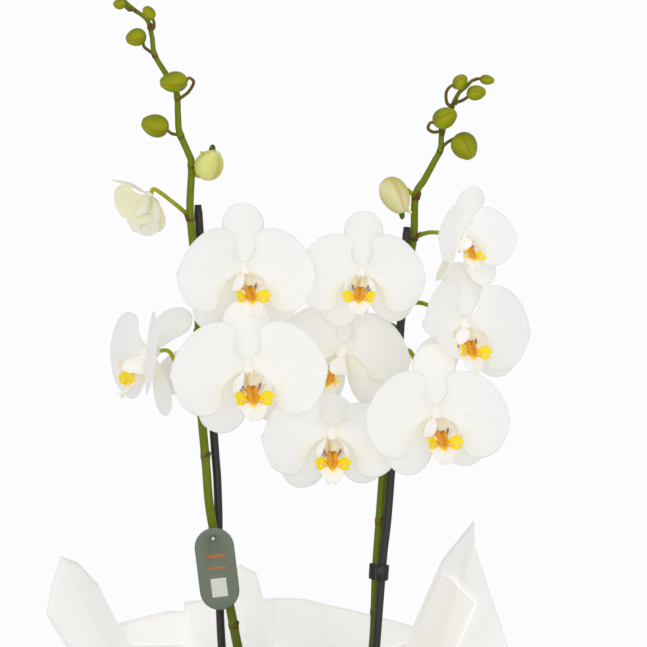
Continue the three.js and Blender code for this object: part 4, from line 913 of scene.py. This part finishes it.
make_piece("opening_bud_left",
           [bud([-60.4, -8, 512.6], 9.9, 21, [0.5, -0.6, 0.75], PALE_GREEN, PALE_DARK, PINK_CREASE, 0.9),
            nub([-59.6, -9.5, 519.5], [-58.2, -11, 526.2], 2.3, NUB_GREEN),
            nub([-62.6, -10, 518.5], [-66.5, -11.5, 521.2], 1.3, PALE_DARK)],
           petal_finish, ["bud_pale_left"])
make_piece("opening_bud_right",
           [bud([63.2, -10, 492.5], 9.9, 26, [0.42, -0.3, -0.85], PALE_CREAM, PALE_DARK, PINK_CREASE, 0.2),
            nub([67.0, -12, 481.5], [67.6, -13, 476.2], 1.9, NUB_GREEN),
            nub([70.4, -12, 482.5], [74.4, -12, 480.2], 1.2, PALE_CREAM)],
           petal_finish, ["bud_pale_right"])


# ---- Stakes and clips ---------------------------------------------------------------------------
# Black plastic stakes, pushed into the bark behind and beside the stems, and a small black clip
# that holds each stem to its stake.

STAKE_LEFT = [[-40, 8, 34], [-52.9, 9, 190], [-55.4, 9.5, 290], [-58.4, 10, 335], [-69, 10, 487]]
STAKE_RIGHT = [[38.5, -7, 34], [50.7, -6.5, 190], [55.4, -6, 250], [60.1, -5, 297.5], [71.5, -3.6, 471.5]]
STAKE_RADIUS, STAKE_TAPER = 2.8, 0.5
CLIP_LEVELS = dict(left=262, right=241)
CLIP_WALL, CLIP_HEIGHT = 1.6, 10.5
STEM_BORE, STAKE_BORE = 3.5, 3.0
CLIP_TAB, TAB_OFFSET = np.array([1.5, 2.6, 3.0]), np.array([0, -6.6, 0.6])
STAKE_BLACK = linear(44, 40, 40)
CLIP_BLACK = linear(30, 29, 30)

stake_finish, tree, surface = finish("stake_plastic", (400, 0.25), roughness=0.45)
grained(tree, surface, 2500.0, 0.3, 0.0001, upright=0.05)

for side, line in (("left", STAKE_LEFT), ("right", STAKE_RIGHT)):
    t = np.linspace(0, 1, 120)
    radius = STAKE_RADIUS - STAKE_TAPER * smooth(0.993, 1, t)
    rod = tube(through(line, t, True), radius, STAKE_BLACK, sides=16)
    make_piece("rod_" + side, [rod], stake_finish, ["stake_" + side])


def collar(middle, along, radius, wall, height, colour):
    """A round collar: a closed profile, bulged and with rounded lips, turned about an axis."""
    profile = np.array([[0, -0.5], [0.8, -0.5], [1, -0.42], [1, 0.42], [0.8, 0.5], [0, 0.5]])
    profile = profile * [wall, height] + [radius, 0]
    along = along / np.linalg.norm(along)
    side = np.cross(along, [0, 1, 0.01])
    side /= np.linalg.norm(side)
    other = np.cross(along, side)
    angle = full_turn(32)
    spoke = side * np.cos(angle)[:, None] + other * np.sin(angle)[:, None]
    points = middle + spoke[:, None] * profile[:, :1] + along * profile[:, 1:]
    points = np.concatenate([points, points[:1]])
    return part_of(points, grid_faces(33, 6, wrap=True), colour)


def block(middle, half, colour):
    """A small block with its eight corners given by half-sizes."""
    corners = np.array([[x, y, z] for x in (-1, 1) for y in (-1, 1) for z in (-1, 1)]) * half + middle
    faces = [[0, 1, 3, 2], [4, 6, 7, 5], [0, 4, 5, 1], [2, 3, 7, 6], [0, 2, 6, 4], [1, 5, 7, 3]]
    return part_of(corners, faces, colour)


clip_finish, tree, surface = finish("clip_plastic", (500, 0.1), roughness=0.3)

for side, stem, stake in (("left", LINE_LEFT, STAKE_LEFT), ("right", LINE_RIGHT, STAKE_RIGHT)):
    level = CLIP_LEVELS[side]
    middles = [on_line(line, level) for line in (stem, stake)]
    rises = [on_line(line, level + 8) - on_line(line, level - 8) for line in (stem, stake)]
    parts = [collar(middle, rise, bore, CLIP_WALL, CLIP_HEIGHT, CLIP_BLACK)
             for middle, rise, bore in zip(middles, rises, (STEM_BORE, STAKE_BORE))]
    parts.append(block(sum(middles) / 2 + TAB_OFFSET, CLIP_TAB, CLIP_BLACK))
    clip_piece = make_piece("grip_" + side, parts, clip_finish, ["clip_" + side])
    rounding = clip_piece.modifiers.new("edges", "BEVEL")
    rounding.width = 0.0003
    rounding.segments = 2
    rounding.limit_method = "ANGLE"


# ---- Tag ----------------------------------------------------------------------------------------
# A hang tag of thin grey-green card with round ends, bare but for a blank white square and two
# plain orange bars. A white thread holds it to the stem behind it.

TAG_GREEN = linear(118, 128, 110)
TAG_ORANGE = linear(206, 112, 52)
TAG_WHITE = linear(232, 234, 228)
TAG_MIDDLE = np.array([-55.2, -9, 243.6])
TAG_TILT = math.radians(7)
TAG_HALF, TAG_STRAIGHT, TAG_THICK, TAG_EDGE = 13.2, 14.3, 0.8, 0.35
HOLE_LEVEL, HOLE_RADIUS = 20.3, 1.1
# What is printed, in metres from the tag's middle: half-width, middle height and half-height of each.
SQUARE = (0.0052, -0.0125, 0.0062)
BARS = [(0.0062, 0.0085, 0.0009), (0.0062, 0.0005, 0.0006)]


def tag_place(x, z, y):
    """A point of the tag's plane, tilted and put in its place."""
    c, s = math.cos(TAG_TILT), math.sin(TAG_TILT)
    return TAG_MIDDLE + np.stack([x * c - z * s, y + 0 * x, x * s + z * c], -1)


def stadium(inset, count=48):
    """The outline of a strip with round ends, moved inwards by an inset."""
    a = np.linspace(0, np.pi, count)
    r = TAG_HALF - inset
    top = np.stack([r * np.cos(a), TAG_STRAIGHT + r * np.sin(a)], 1)
    return np.concatenate([top, -top])


# The card's edge from its back face to its front: how far each ring is drawn in, and its y.
card_rings = [(HOLE_RADIUS * 2, 0), (TAG_EDGE, 0), (0, -0.25), (0, 0.25 - TAG_THICK),
              (TAG_EDGE, -TAG_THICK), (HOLE_RADIUS * 2, -TAG_THICK)]
card = np.stack([tag_place(*stadium(inset).T, y) for inset, y in card_rings])
sides = card.shape[1]
hole = HOLE_RADIUS * np.stack([np.cos(full_turn(sides)), np.sin(full_turn(sides))]) + [[0], [HOLE_LEVEL]]
hole_back, hole_front = tag_place(*hole, 0.0), tag_place(*hole, -TAG_THICK)
loops = np.concatenate([hole_back[None], card, hole_front[None], hole_back[None]])
tag_part = part_of(loops, grid_faces(len(loops), sides, wrap=True), TAG_GREEN)

tag_finish, tree, surface = finish("tag_card", roughness=0.55)
centred = add(tree, "Mapping", [("Vector", place_in(tree)), ("Location", tuple(-TAG_MIDDLE / 1000))])
upright = add(tree, "VectorRotate", [("Vector", centred.outputs[0]), ("Axis", (0, 1, 0)),
                                     ("Angle", TAG_TILT)])
card_x, _, card_z = add(tree, "SeparateXYZ", [(0, upright.outputs[0])]).outputs


def within(source, middle, half):
    """1 where a coordinate is within half of a middle value."""
    away = math_node(tree, "ABSOLUTE", math_node(tree, "SUBTRACT", source, middle))
    return math_node(tree, "LESS_THAN", away, half)


def printed(ground, colour, wide, level, high):
    """A plain rectangle of a colour, by its half-width, height and half-height, on a ground colour."""
    mask = math_node(tree, "MULTIPLY", within(card_x, 0.0, wide), within(card_z, level, high))
    return add(tree, "Mix", [(0, mask), (6, ground), (7, (*colour, 1))], data_type="RGBA").outputs[2]


ink = (*TAG_GREEN, 1)
for bar in BARS:
    ink = printed(ink, TAG_ORANGE, *bar)
ink = printed(ink, TAG_WHITE, *SQUARE)
tree.links.new(mottled(tree, ink, 300, 0.04), surface.inputs["Base Color"])
grained(tree, surface, 3000.0, 0.1, 0.0001)
make_piece("hang_tag", [tag_part], tag_finish, ["tag"])

# The thread's route: through the hole, round the back of stem and stake with some air, and back.
THREAD_WHITE = linear(226, 222, 210)
THREAD_RADIUS, KNOT_RADIUS, THREAD_AIR = 0.5, 1.25, 5
hole_x, hole_y, hole_z = tag_place(np.array(0.0), np.array(HOLE_LEVEL), 0.0)
stem_there, stake_there = on_line(LINE_LEFT, hole_z), on_line(STAKE_LEFT, hole_z)
near = min(stem_there[0], stake_there[0]) - THREAD_AIR
far = max(stem_there[0], stake_there[0]) + THREAD_AIR
rear = max(stem_there[1], stake_there[1]) + THREAD_AIR
route = [[hole_x, hole_y - 1.7, hole_z], [hole_x, hole_y + 1.2, hole_z],
         [near, stem_there[1] - 2, hole_z + 1], [near, rear - 2, hole_z + 1.5],
         [(near + far) / 2, rear, hole_z + 2], [far, rear - 2, hole_z + 1.5],
         [far, stem_there[1] - 2, hole_z + 1], [hole_x + 0.5, hole_y + 1.6, hole_z]]
thread = tube(through(route, np.linspace(0, 1, 180), True), THREAD_RADIUS, THREAD_WHITE, sides=8)
knot_path = np.linspace([hole_x, hole_y - 2.4, hole_z], [hole_x, hole_y - 1.0, hole_z], 14)
knot = tube(knot_path, KNOT_RADIUS * np.sqrt(np.clip(1 - np.linspace(-1, 1, 14) ** 2, 0, 1)), THREAD_WHITE)
thread_finish, tree, surface = finish("thread_twist", (1200, 0.1), roughness=0.8)
twist = add(tree, "TexWave", [("Vector", place_in(tree)), ("Scale", 900.0)])
relief(tree, surface, twist.outputs["Fac"], 0.5, 0.0001)
make_piece("tag_thread", [thread, knot], thread_finish, ["tag_tie"])


# ---- Pot and bark -------------------------------------------------------------------------------
# A plain tapered plastic pot with a rolled rim, filled with coarse bark chunks.

FOOT_RADIUS, RIM_RADIUS, POT_FOOT, POT_HEIGHT, POT_WALL = 46, 64, 2.6, 112, 2.2
BARK_LEVEL, CHUNKS, CHUNK_SPREAD, GOLDEN_TURN = 101, 150, 54, 2.399963
POT_WHITE = linear(233, 231, 226)
BARK_BROWN = linear(112, 78, 54)
BARK_PALE = linear(150, 112, 80)


def pot_radius(z):
    """The pot's half-width at a height: straight from the foot to the rim."""
    return FOOT_RADIUS + (RIM_RADIUS - FOOT_RADIUS) * (z - POT_FOOT) / POT_HEIGHT


def turned(profile, sectors, colour):
    """A profile of (reach, height) turned about the upright axis; points on the axis close it."""
    reach, angle = np.meshgrid(np.array(profile)[:, 0], full_turn(sectors), indexing="ij")
    height = np.broadcast_to(np.array(profile)[:, 1:], reach.shape)
    points = np.stack([reach * np.cos(angle), reach * np.sin(angle), height], -1)
    return part_of(points, grid_faces(len(profile), sectors, wrap=True), colour)


pot_top = POT_FOOT + POT_HEIGHT
pot_profile = [[0, POT_FOOT], [FOOT_RADIUS - 2, POT_FOOT], [FOOT_RADIUS - 0.6, POT_FOOT + 0.6],
               [FOOT_RADIUS, POT_FOOT + 2], [pot_radius(pot_top - 9), pot_top - 9],
               [RIM_RADIUS + 1.8, pot_top - 8.2], [RIM_RADIUS + 2.3, pot_top - 7.4],
               [RIM_RADIUS + 2.6, pot_top - 1.8], [RIM_RADIUS + 2.2, pot_top - 0.5],
               [RIM_RADIUS + 1.4, pot_top], [RIM_RADIUS - 0.4, pot_top], [RIM_RADIUS - 1.2, pot_top - 0.6],
               [pot_radius(pot_top - 4) - POT_WALL, pot_top - 4], [FOOT_RADIUS - POT_WALL, POT_FOOT + 4.5],
               [0, POT_FOOT + 3]]
pot_finish, tree, surface = finish("pot_plastic", (40, 0.03), roughness=0.4)
grained(tree, surface, 1500.0, 0.08, 0.0002)
make_piece("pot_shell", [turned(pot_profile, 96, POT_WHITE)], pot_finish, ["pot"])

rng = np.random.default_rng(11)


def chunk(middle, half, turn, colour):
    """A bark chunk: a ball pressed towards a block, its points moved by smooth waves, and turned."""
    t, a = grid(7, 11, 0, 2 * np.pi)
    t, a = t[:, :-1] * np.pi, a[:, :-1]
    p = np.stack([np.sin(t) * np.cos(a), np.sin(t) * np.sin(a), np.cos(t)], -1)
    p = np.sign(p) * np.abs(p) ** 0.55
    p = p * (1 + 0.12 * np.sin(5 * p[..., [1, 2, 0]] + 9 * turn)) * half
    p = p @ turning("z", turn) @ turning("x", 0.5 * math.sin(3 * turn))
    return part_of(p + middle, grid_faces(7, 10, wrap=True), colour)


def bark_reach(z):
    """The bark's half-width, a little less than the pot's inside."""
    return pot_radius(z) - POT_WALL - 0.7


bark_parts = [turned([[0, POT_FOOT + 5.2], [FOOT_RADIUS - POT_WALL - 2.4, POT_FOOT + 5.6],
                      [bark_reach(BARK_LEVEL - 4), BARK_LEVEL - 4],
                      [bark_reach(BARK_LEVEL) - 4, BARK_LEVEL - 2], [0, BARK_LEVEL - 1]], 48, BARK_BROWN)]
for k in range(CHUNKS):
    reach, turn = CHUNK_SPREAD * math.sqrt((k + 0.6) / CHUNKS), GOLDEN_TURN * k
    half = np.array([rng.uniform(4, 8), rng.uniform(3, 5.5), rng.uniform(2, 3.6)])
    middle = np.array([math.cos(turn) * reach, math.sin(turn) * reach, BARK_LEVEL + rng.uniform(-2.5, 1.8)])
    own_turn, shade = rng.uniform(0, 6.28), rng.uniform(-0.3, 1)
    bark_parts.append(chunk(middle, half, own_turn, blend(BARK_BROWN, BARK_PALE, shade)))
bark_finish, tree, surface = finish("bark_chunks", (250, 0.35), (1500, 0.3), roughness=0.9)
grained(tree, surface, 700.0, 0.8, 0.0008, detail=6.0)
make_piece("bark_heap", bark_parts, bark_finish, ["bark_mix"])


# ---- Crown and leaves ---------------------------------------------------------------------------
# The short upright stem with silvery roots that dive into the bark, and six thick glossy leaves
# that leave it in two rows and arch outwards.

CROWN_ROOTS = [
    [[6, -6, 108], [20, -20, 113], [34, -30, 106], [40, -33, 92]],
    [[-7, -5, 107], [-14, -26, 113], [-14, -44, 106], [-12, -50, 92]],
    [[-4, 8, 107], [-16, 27, 112], [-30, 36, 105], [-36, 38, 92]],
    [[6, 7, 108], [13, 28, 113], [12, 46, 106], [9, 51, 92]],
]
# Each leaf: its azimuth, the reach and height of its foot, length, width, rise at the foot, drop at the
# tip and roll.
LEAVES = [
    ("leaf_1", 240, (11.4, 118), 150, 62, 80, 26, 4), ("leaf_2", 60, (11.4, 118), 108, 50, 80, 26, -4),
    ("leaf_3", 120, (11.4, 118), 112, 50, 82, 22, -4), ("leaf_4", 303, (11.4, 118), 138, 58, 76, 32, 4),
    ("leaf_5", 271, (10.4, 127), 62, 24, 88, -52, 0), ("leaf_6", 92, (10.4, 127), 50, 20, 88, -56, 0),
]
ROOT_SILVER = linear(150, 160, 130)
CROWN_GREEN = linear(112, 128, 70)
LEAF_GREEN = linear(58, 104, 38)
LEAF_LIGHT = linear(104, 142, 60)
LEAF_UNDER = linear(92, 124, 72)

t = np.linspace(0, 1, 40)
trunk = tube(through([[0, 0, 84], [0, 0, 104], [0, 0, 122], [0, 1, 134]], t, True),
             (13 - 5 * t * t) * (1 + 0.03 * np.sin(28 * t)), CROWN_GREEN, sides=24)
roots = [tube(through(line, t, True), 3.1 - 0.9 * t + 0.15 * np.sin(25 * t), ROOT_SILVER, sides=12)
         for line in CROWN_ROOTS]
make_piece("crown_stem", [trunk, *roots], stem_finish, ["crown"])


def leaf_part(azimuth, foot, length, width, rise, drop, roll):
    """A leaf: its spine's slope turns evenly from the rise to minus the drop, its half-width follows
    an outline, and its halves lift from a channel along the middle."""
    u, v = grid(60, 25)
    outline = [[0, 6.5], [0.15, 0.17 * width], [0.35, 0.37 * width], [0.6, 0.5 * width],
               [0.8, 0.44 * width], [0.93, 0.27 * width], [1, 0]]
    edge = through(outline, u)
    e, half = edge[..., 0], edge[..., 1]
    steps = 240
    slope = np.radians(rise - (rise + drop) * (np.arange(steps) + 0.5) / steps)
    run = np.concatenate([[0], np.cumsum(np.cos(slope))]) * length / steps + foot[0]
    up = np.concatenate([[0], np.cumsum(np.sin(slope))]) * length / steps + foot[1]
    at = np.linspace(0, 1, steps + 1)
    r, z = np.interp(e, at, run), np.interp(e, at, up)
    a = np.abs(v) ** 1.5
    fold = 0.16 * half * a * (1 - 0.6 * e) + 0.9 * np.sin(9 * e) * a
    tilt = math.radians(roll)
    across = half * v * math.cos(tilt)
    z = z + fold + half * v * math.sin(tilt)
    front = np.stack([r, across, z], -1) @ turning("z", math.radians(azimuth)).T
    colour = blend(LEAF_GREEN, LEAF_LIGHT, 0.8 * bump_at(0, 0.05, v) + 0.35 * smooth(0.85, 1, np.abs(v)))
    depth = 1.9 - 1.2 * np.abs(v) ** 4
    return shell(front, depth, [0, 0, 1], colour, LEAF_UNDER, np.stack([v * 3, e * 3], -1))


leaf_finish, tree, surface = finish("leaf_skin", (35, 0.15), (500, 0.08), roughness=0.28, soft=0.05,
                                    soft_radius=(0.4, 1, 0.2), soft_scale=0.001, coat=0.2)
ribs = add(tree, "SeparateXYZ", [(0, add(tree, "TexCoord").outputs["UV"])])
stripe = math_node(tree, "SINE", math_node(tree, "MULTIPLY", ribs.outputs[0], 60.0))
relief(tree, surface, stripe, 0.12, 0.0003)
for name, *values in LEAVES:
    make_piece("green_" + name, [leaf_part(*values)], leaf_finish, [name])


# ---- Wrap ---------------------------------------------------------------------------------------
# A sheet of smooth white paper with pointed corners, inside a sheet of thin ribbed white fleece.
# Both run under the pot and up its side, are gathered by a band, and flare out above it. The rims give
# the paper's reach and height, and the fleece's height, at each azimuth.

PAPER_RIM = [
    [0, 150, 172], [10, 150, 178], [19, 151, 184], [27.8, 150, 217], [34.8, 149, 250], [37.7, 155, 267],
    [44.8, 142, 239], [49.5, 135, 209], [54.6, 129, 178], [66, 116, 168], [80, 108, 166], [93, 107, 168],
    [100, 108, 176], [107, 112, 229], [112.3, 116, 235], [120.5, 122, 211], [128.4, 134, 208],
    [129.7, 132, 178], [142.6, 163, 177], [145, 169.5, 191], [147.6, 171, 222], [153, 177, 239],
    [157.4, 182, 244], [162, 181, 228], [167, 179.5, 207.5], [173, 160, 188], [184, 150, 172],
    [196, 146, 164], [214, 144, 160], [232, 140, 164], [248, 136, 160], [264, 138, 164], [280, 136, 160],
    [296, 140, 164], [312, 144, 160], [328, 148, 168], [344, 149, 164],
]
FLEECE_RIM = [
    [0, 160], [18, 166], [36, 178], [54, 189], [72, 199], [90, 208], [108, 210], [126, 204], [144, 188],
    [162, 168], [180, 160], [198, 156], [216, 153], [234, 152], [252, 150], [270, 151], [288, 152],
    [306, 153], [324, 154], [342, 156],
]
SHOULDER, SPREAD, SHEET_THICK = 118, 0.62, 0.5
PAPER_FLOOR, PAPER_GAP, SHEET_GAP = 1.4, 6, 3.8
PAPER_WHITE = linear(252, 251, 250)
FLEECE_WHITE = linear(252, 251, 249)
PAPER_FOLD = linear(253, 251, 246)
BAND_CREAM = linear(230, 224, 206)


def rim_value(rim, azimuth, item):
    """A value of a rim table at any azimuth, straight between its points."""
    table = np.array(rim, float)
    table = np.vstack([table, table[0]])
    table[-1, 0] = 360
    return np.interp(azimuth % 360, table[:, 0], table[:, item])


def flared(reach, top, level, ripple=0.0):
    """The paper's half-width at a level above the shoulder: out to the rim's reach as the level's share
    of the way to the rim's top, to the power SPREAD, with a ripple that grows and falls on the way."""
    shoulder = pot_radius(SHOULDER) + PAPER_GAP
    share = np.clip((level - SHOULDER) / (top - SHOULDER), 0, None) ** SPREAD
    return shoulder + (reach - shoulder) * share + ripple * np.sin(np.pi * np.clip(share, 0, 1))


def wrap_part(azimuth, heights, floor, clearance, colour):
    """A wrap sheet, azimuth round and level up: under the pot, up the wall by the pot's half-width plus
    a gap, then flared out with small ripples. The inner face is the outer one moved by its normal."""
    gaps = (14, 4), (48, 5), (83, 6), (92, 6.1), (101, 6.2), (SHOULDER, PAPER_GAP)
    wall = [[0, floor], [24, floor], [FOOT_RADIUS + 1.4, floor], [FOOT_RADIUS + 2.4, floor + 0.8]]
    wall = np.array(wall + [[pot_radius(z) + gap, z] for z, gap in gaps])
    a = np.radians(azimuth)[:, None]
    ripple = 0.9 * np.sin(a * 31) + 0.7 * np.sin(a * 19 + 1)
    z = SHOULDER + (heights[:, None] - SHOULDER) * np.linspace(0, 1, 27)[1:] ** 1.25
    reach, top = (rim_value(PAPER_RIM, azimuth, item)[:, None] for item in (1, 2))
    r, z = (np.concatenate([np.repeat(low[None], len(azimuth), 0), high], 1)
            for low, high in ((wall[:, 0], flared(reach, top, z, ripple)), (wall[:, 1], z)))
    r[:, 1:] += clearance
    outer = np.stack([r * np.cos(a), r * np.sin(a), z], -1)
    normal = np.cross(np.gradient(outer, axis=1), np.roll(outer, -1, 0) - np.roll(outer, 1, 0))
    normal[:, 0] = [0, 0, 1]
    normal /= np.linalg.norm(normal, axis=-1, keepdims=True)
    inner = outer + normal * SHEET_THICK * np.where(normal[..., 2:3] < -0.2, -1, 1)
    rows, columns = r.shape
    count = rows * columns
    quads = np.array(grid_faces(columns, rows, wrap=True))
    quads = quads % rows * columns + quads // rows
    last = np.arange(rows) * columns + columns - 1
    after = np.roll(last, -1)
    edge = np.stack([last, after, after + count, last + count], 1)
    length = np.cumsum(np.linalg.norm(np.diff(outer, axis=1, prepend=outer[:, :1]), axis=-1), axis=1)
    coords = np.stack([np.broadcast_to(a, length.shape), length / 1000], -1)
    faces = np.concatenate([quads, quads + count, edge]).tolist()
    return part_of(np.stack([outer, inner]), faces, colour, coords)


azimuths = np.unique(np.round(np.concatenate([np.arange(0, 360, 1.5), [p[0] for p in PAPER_RIM]]), 2))

# The paper glows: painted light for the light that comes through the thin sheet.
paper_finish, tree, surface = finish("wrap_paper_sheet", (14, 0.02), glow=0.2, soft=0.1, soft_scale=0.004)
crumple = add(tree, "TexNoise", [("Vector", place_in(tree)), ("Scale", 22.0)])
fibre = add(tree, "TexNoise", [("Vector", place_in(tree)), ("Scale", 900.0), ("Detail", 5.0)])
fibre = math_node(tree, "MULTIPLY", fibre.outputs["Fac"], 0.03)
relief(tree, surface, math_node(tree, "ADD", crumple.outputs["Fac"], fibre), 0.15, 0.004)
paper_parts = [wrap_part(azimuths, rim_value(PAPER_RIM, azimuths, 2), PAPER_FLOOR, 0.0, PAPER_WHITE)]

# The turned-back edge of the right-hand corner, inside the sheet: azimuth and level of its corners.
FOLD = dict(top_left=(44.0, 229), top_right=(29.5, 212), low_left=(53.5, 168), low_right=(30.0, 172))
up, across = grid(24, 20, 0, 1)
left = blend(np.array(FOLD["low_left"]), np.array(FOLD["top_left"]), up)
right = blend(np.array(FOLD["low_right"]), np.array(FOLD["top_right"]), up)
turn, level = np.moveaxis(blend(left, right, across), -1, 0)
level = level + 3.5 * np.sin(np.pi * across) * up
rim_reach, rim_top = rim_value(PAPER_RIM, turn, 1), rim_value(PAPER_RIM, turn, 2)
fold_reach = flared(rim_reach, rim_top, np.minimum(level, rim_top))
fold_reach = fold_reach - 1.2 - 3.2 * np.sin(np.pi * (across * 0.5 + 0.05)) * (0.4 + 0.6 * up)
turn = np.radians(turn)
fold_front = np.stack([fold_reach * np.cos(turn), fold_reach * np.sin(turn), level], -1)
fold_coords = np.stack([up, across], -1)
paper_parts.append(shell(fold_front, 0.4, [-1, -1, 0.3], PAPER_FOLD, PAPER_FOLD, fold_coords))
paper = make_piece("paper_sheet", paper_parts, paper_finish, ["wrap_paper"])

# The fleece glows: painted light for the light that comes through the thin sheet.
fleece_finish, tree, surface = finish("fleece_sheet", (20, 0.02), glow=0.2, roughness=0.85, soft=0.1,
                                      soft_scale=0.004)
round_uv, up_uv, _ = add(tree, "SeparateXYZ", [(0, add(tree, "TexCoord").outputs["UV"])]).outputs
rib = math_node(tree, "ADD", up_uv, math_node(tree, "MULTIPLY", round_uv, 0.045))
relief(tree, surface, math_node(tree, "SINE", math_node(tree, "MULTIPLY", rib, 3000.0)), 0.2, 0.0004)
fleece_part = wrap_part(azimuths, rim_value(FLEECE_RIM, azimuths, 1), 0.0, SHEET_GAP, FLEECE_WHITE)
fleece = make_piece("fleece_wrap", [fleece_part], fleece_finish, ["wrap_fleece"])

BAND_LEVEL = 92
BAND_PROFILE = [[0, -6], [1.0, -6], [1.4, -5], [1.6, 0], [1.4, 5], [1.0, 6], [0, 6], [0, -6]]
band_inner = pot_radius(100) + 6.2 + SHEET_GAP + 2.15
band_finish, tree, surface = finish("band_ribbon", (300, 0.06), roughness=0.55)
weave = add(tree, "TexWave", [("Vector", place_in(tree)), ("Scale", 500.0)], bands_direction="Z")
relief(tree, surface, weave.outputs["Fac"], 0.4, 0.0003)
band_part = turned([[band_inner + r, z + BAND_LEVEL] for r, z in BAND_PROFILE], 120, BAND_CREAM)
make_piece("gather_band", [band_part], band_finish, ["wrap_band"])
